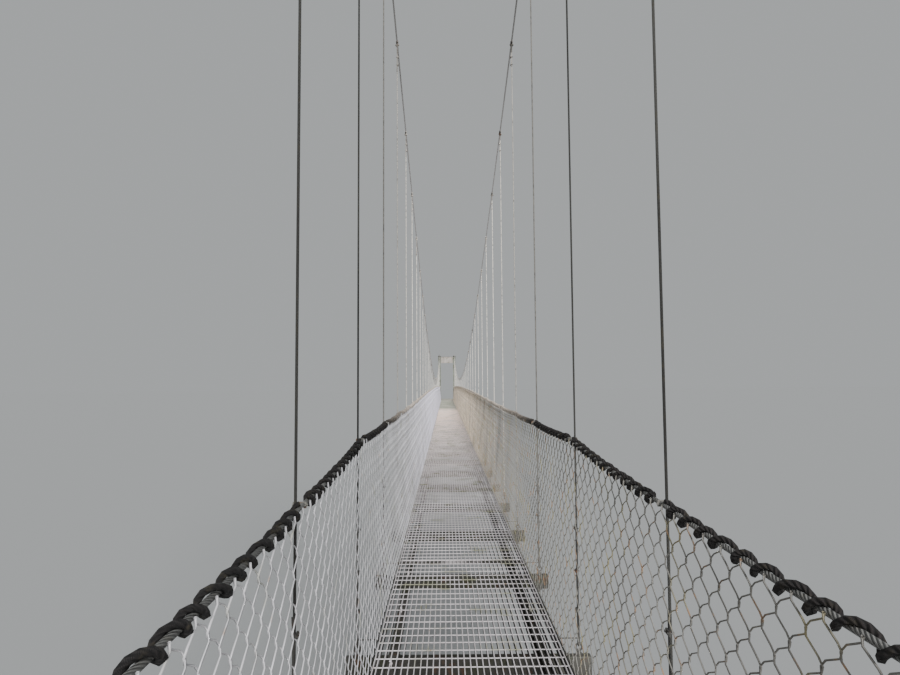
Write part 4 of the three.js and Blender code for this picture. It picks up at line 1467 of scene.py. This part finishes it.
for side, sign in SIDES.items():
    for section in SECTIONS:
        name = f"side_mesh_{side}_{section}"
        bend = ROUND_BEND if section == 1 else SHARP_BEND
        low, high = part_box(name)
        step = 2 * WIRE_PITCH
        count = int((high.y - low.y - 2 * WIRE_REACH) / step)
        first_y = (low.y + high.y - (count - 1) * step - WIRE_PITCH) / 2
        wires = grown(
            name, CHAIN_LINK,
            lines(mesh_wire(0, 0, -sign, bend), mesh_wire(WIRE_PITCH, 1, -sign, bend)),
            Radius=WIRE_RADIUS, First=(sign * TOE_X, first_y, MESH_FOOT), Step=step, Count=count,
            Lean=sign * mesh_lean, Height=BENDS * BEND_RISE, Finish=MESH_WIRES[side])
        settle(shown(f"{name}_wires", wires), "mesh_wire", name)

        def on_toe(ys):
            return [(sign * TOE_X, y, TOE_Z) for y in ys]

        toe = grown(
            "toe", ROPE, lines(on_toe((low.y, high.y))), Radius=TOE_RADIUS, Sides=8,
            Finish=HANGER_STEEL)
        settle(shown(f"toe_cable_{side}_{section}", toe), "cable_steel")
        for kind, slot, body, finish, ys in (
                ("toe_ties", "cable_steel", toe_tie(), CLIP_STEEL,
                 [NEAR_Y + BAY * bay for bay in hanger_bays(section)]),
                ("mesh_ties", "mesh_wire", tie_ring(), MESH_WIRES[side],
                 [low.y + TIE_STEP * (i + 0.5) for i in range(int((high.y - low.y) / TIE_STEP))])):
            ties = copies(kind, body, facing(on_toe(ys), sign), finish)
            settle(shown(f"{kind}_{side}_{section}", ties), slot)

on_each_leg("toe_cleat", toe_cleat, TOE_X, dict.fromkeys(ENDS, TOE_Z), "cable_steel")

# Studio: a plain pale floor, an even pale surround, and soft light from above and in front.

FLOOR_REACH = 120
FLOOR_TONE = (0.2985, 0.3062, 0.3084, 1)
SURROUND = (0.80, 0.83, 0.84, 1)
SURROUND_STRENGTH = 0.52
KEY_STRENGTH = 5.54
KEY_SOFTNESS = radians(18)

floor_mesh = bpy.data.meshes.new("floor")
floor_mesh.from_pydata(
    [(x * FLOOR_REACH, y * FLOOR_REACH, 0) for x, y in ((-1, -1), (1, -1), (1, 1), (-1, 1))],
    [], [(0, 1, 2, 3)])
floor_finish = Finish("pale_floor")
floor_finish.put(floor_finish.shader.inputs["Base Color"], FLOOR_TONE)
floor_finish.put(floor_finish.shader.inputs["Roughness"], 0.9)
shown("floor", floor_mesh, floor_finish.material)

surround = bpy.data.worlds.new("surround")
surround.use_nodes = True
background = surround.node_tree.nodes["Background"]
background.inputs["Color"].default_value = SURROUND
background.inputs["Strength"].default_value = SURROUND_STRENGTH
bpy.context.scene.world = surround

key = bpy.data.objects.new("key", bpy.data.lights.new("key", "SUN"))
key.data.energy = KEY_STRENGTH
key.data.angle = KEY_SOFTNESS
key.rotation_euler = (radians(60), radians(14), 0)
bpy.context.scene.collection.objects.link(key)
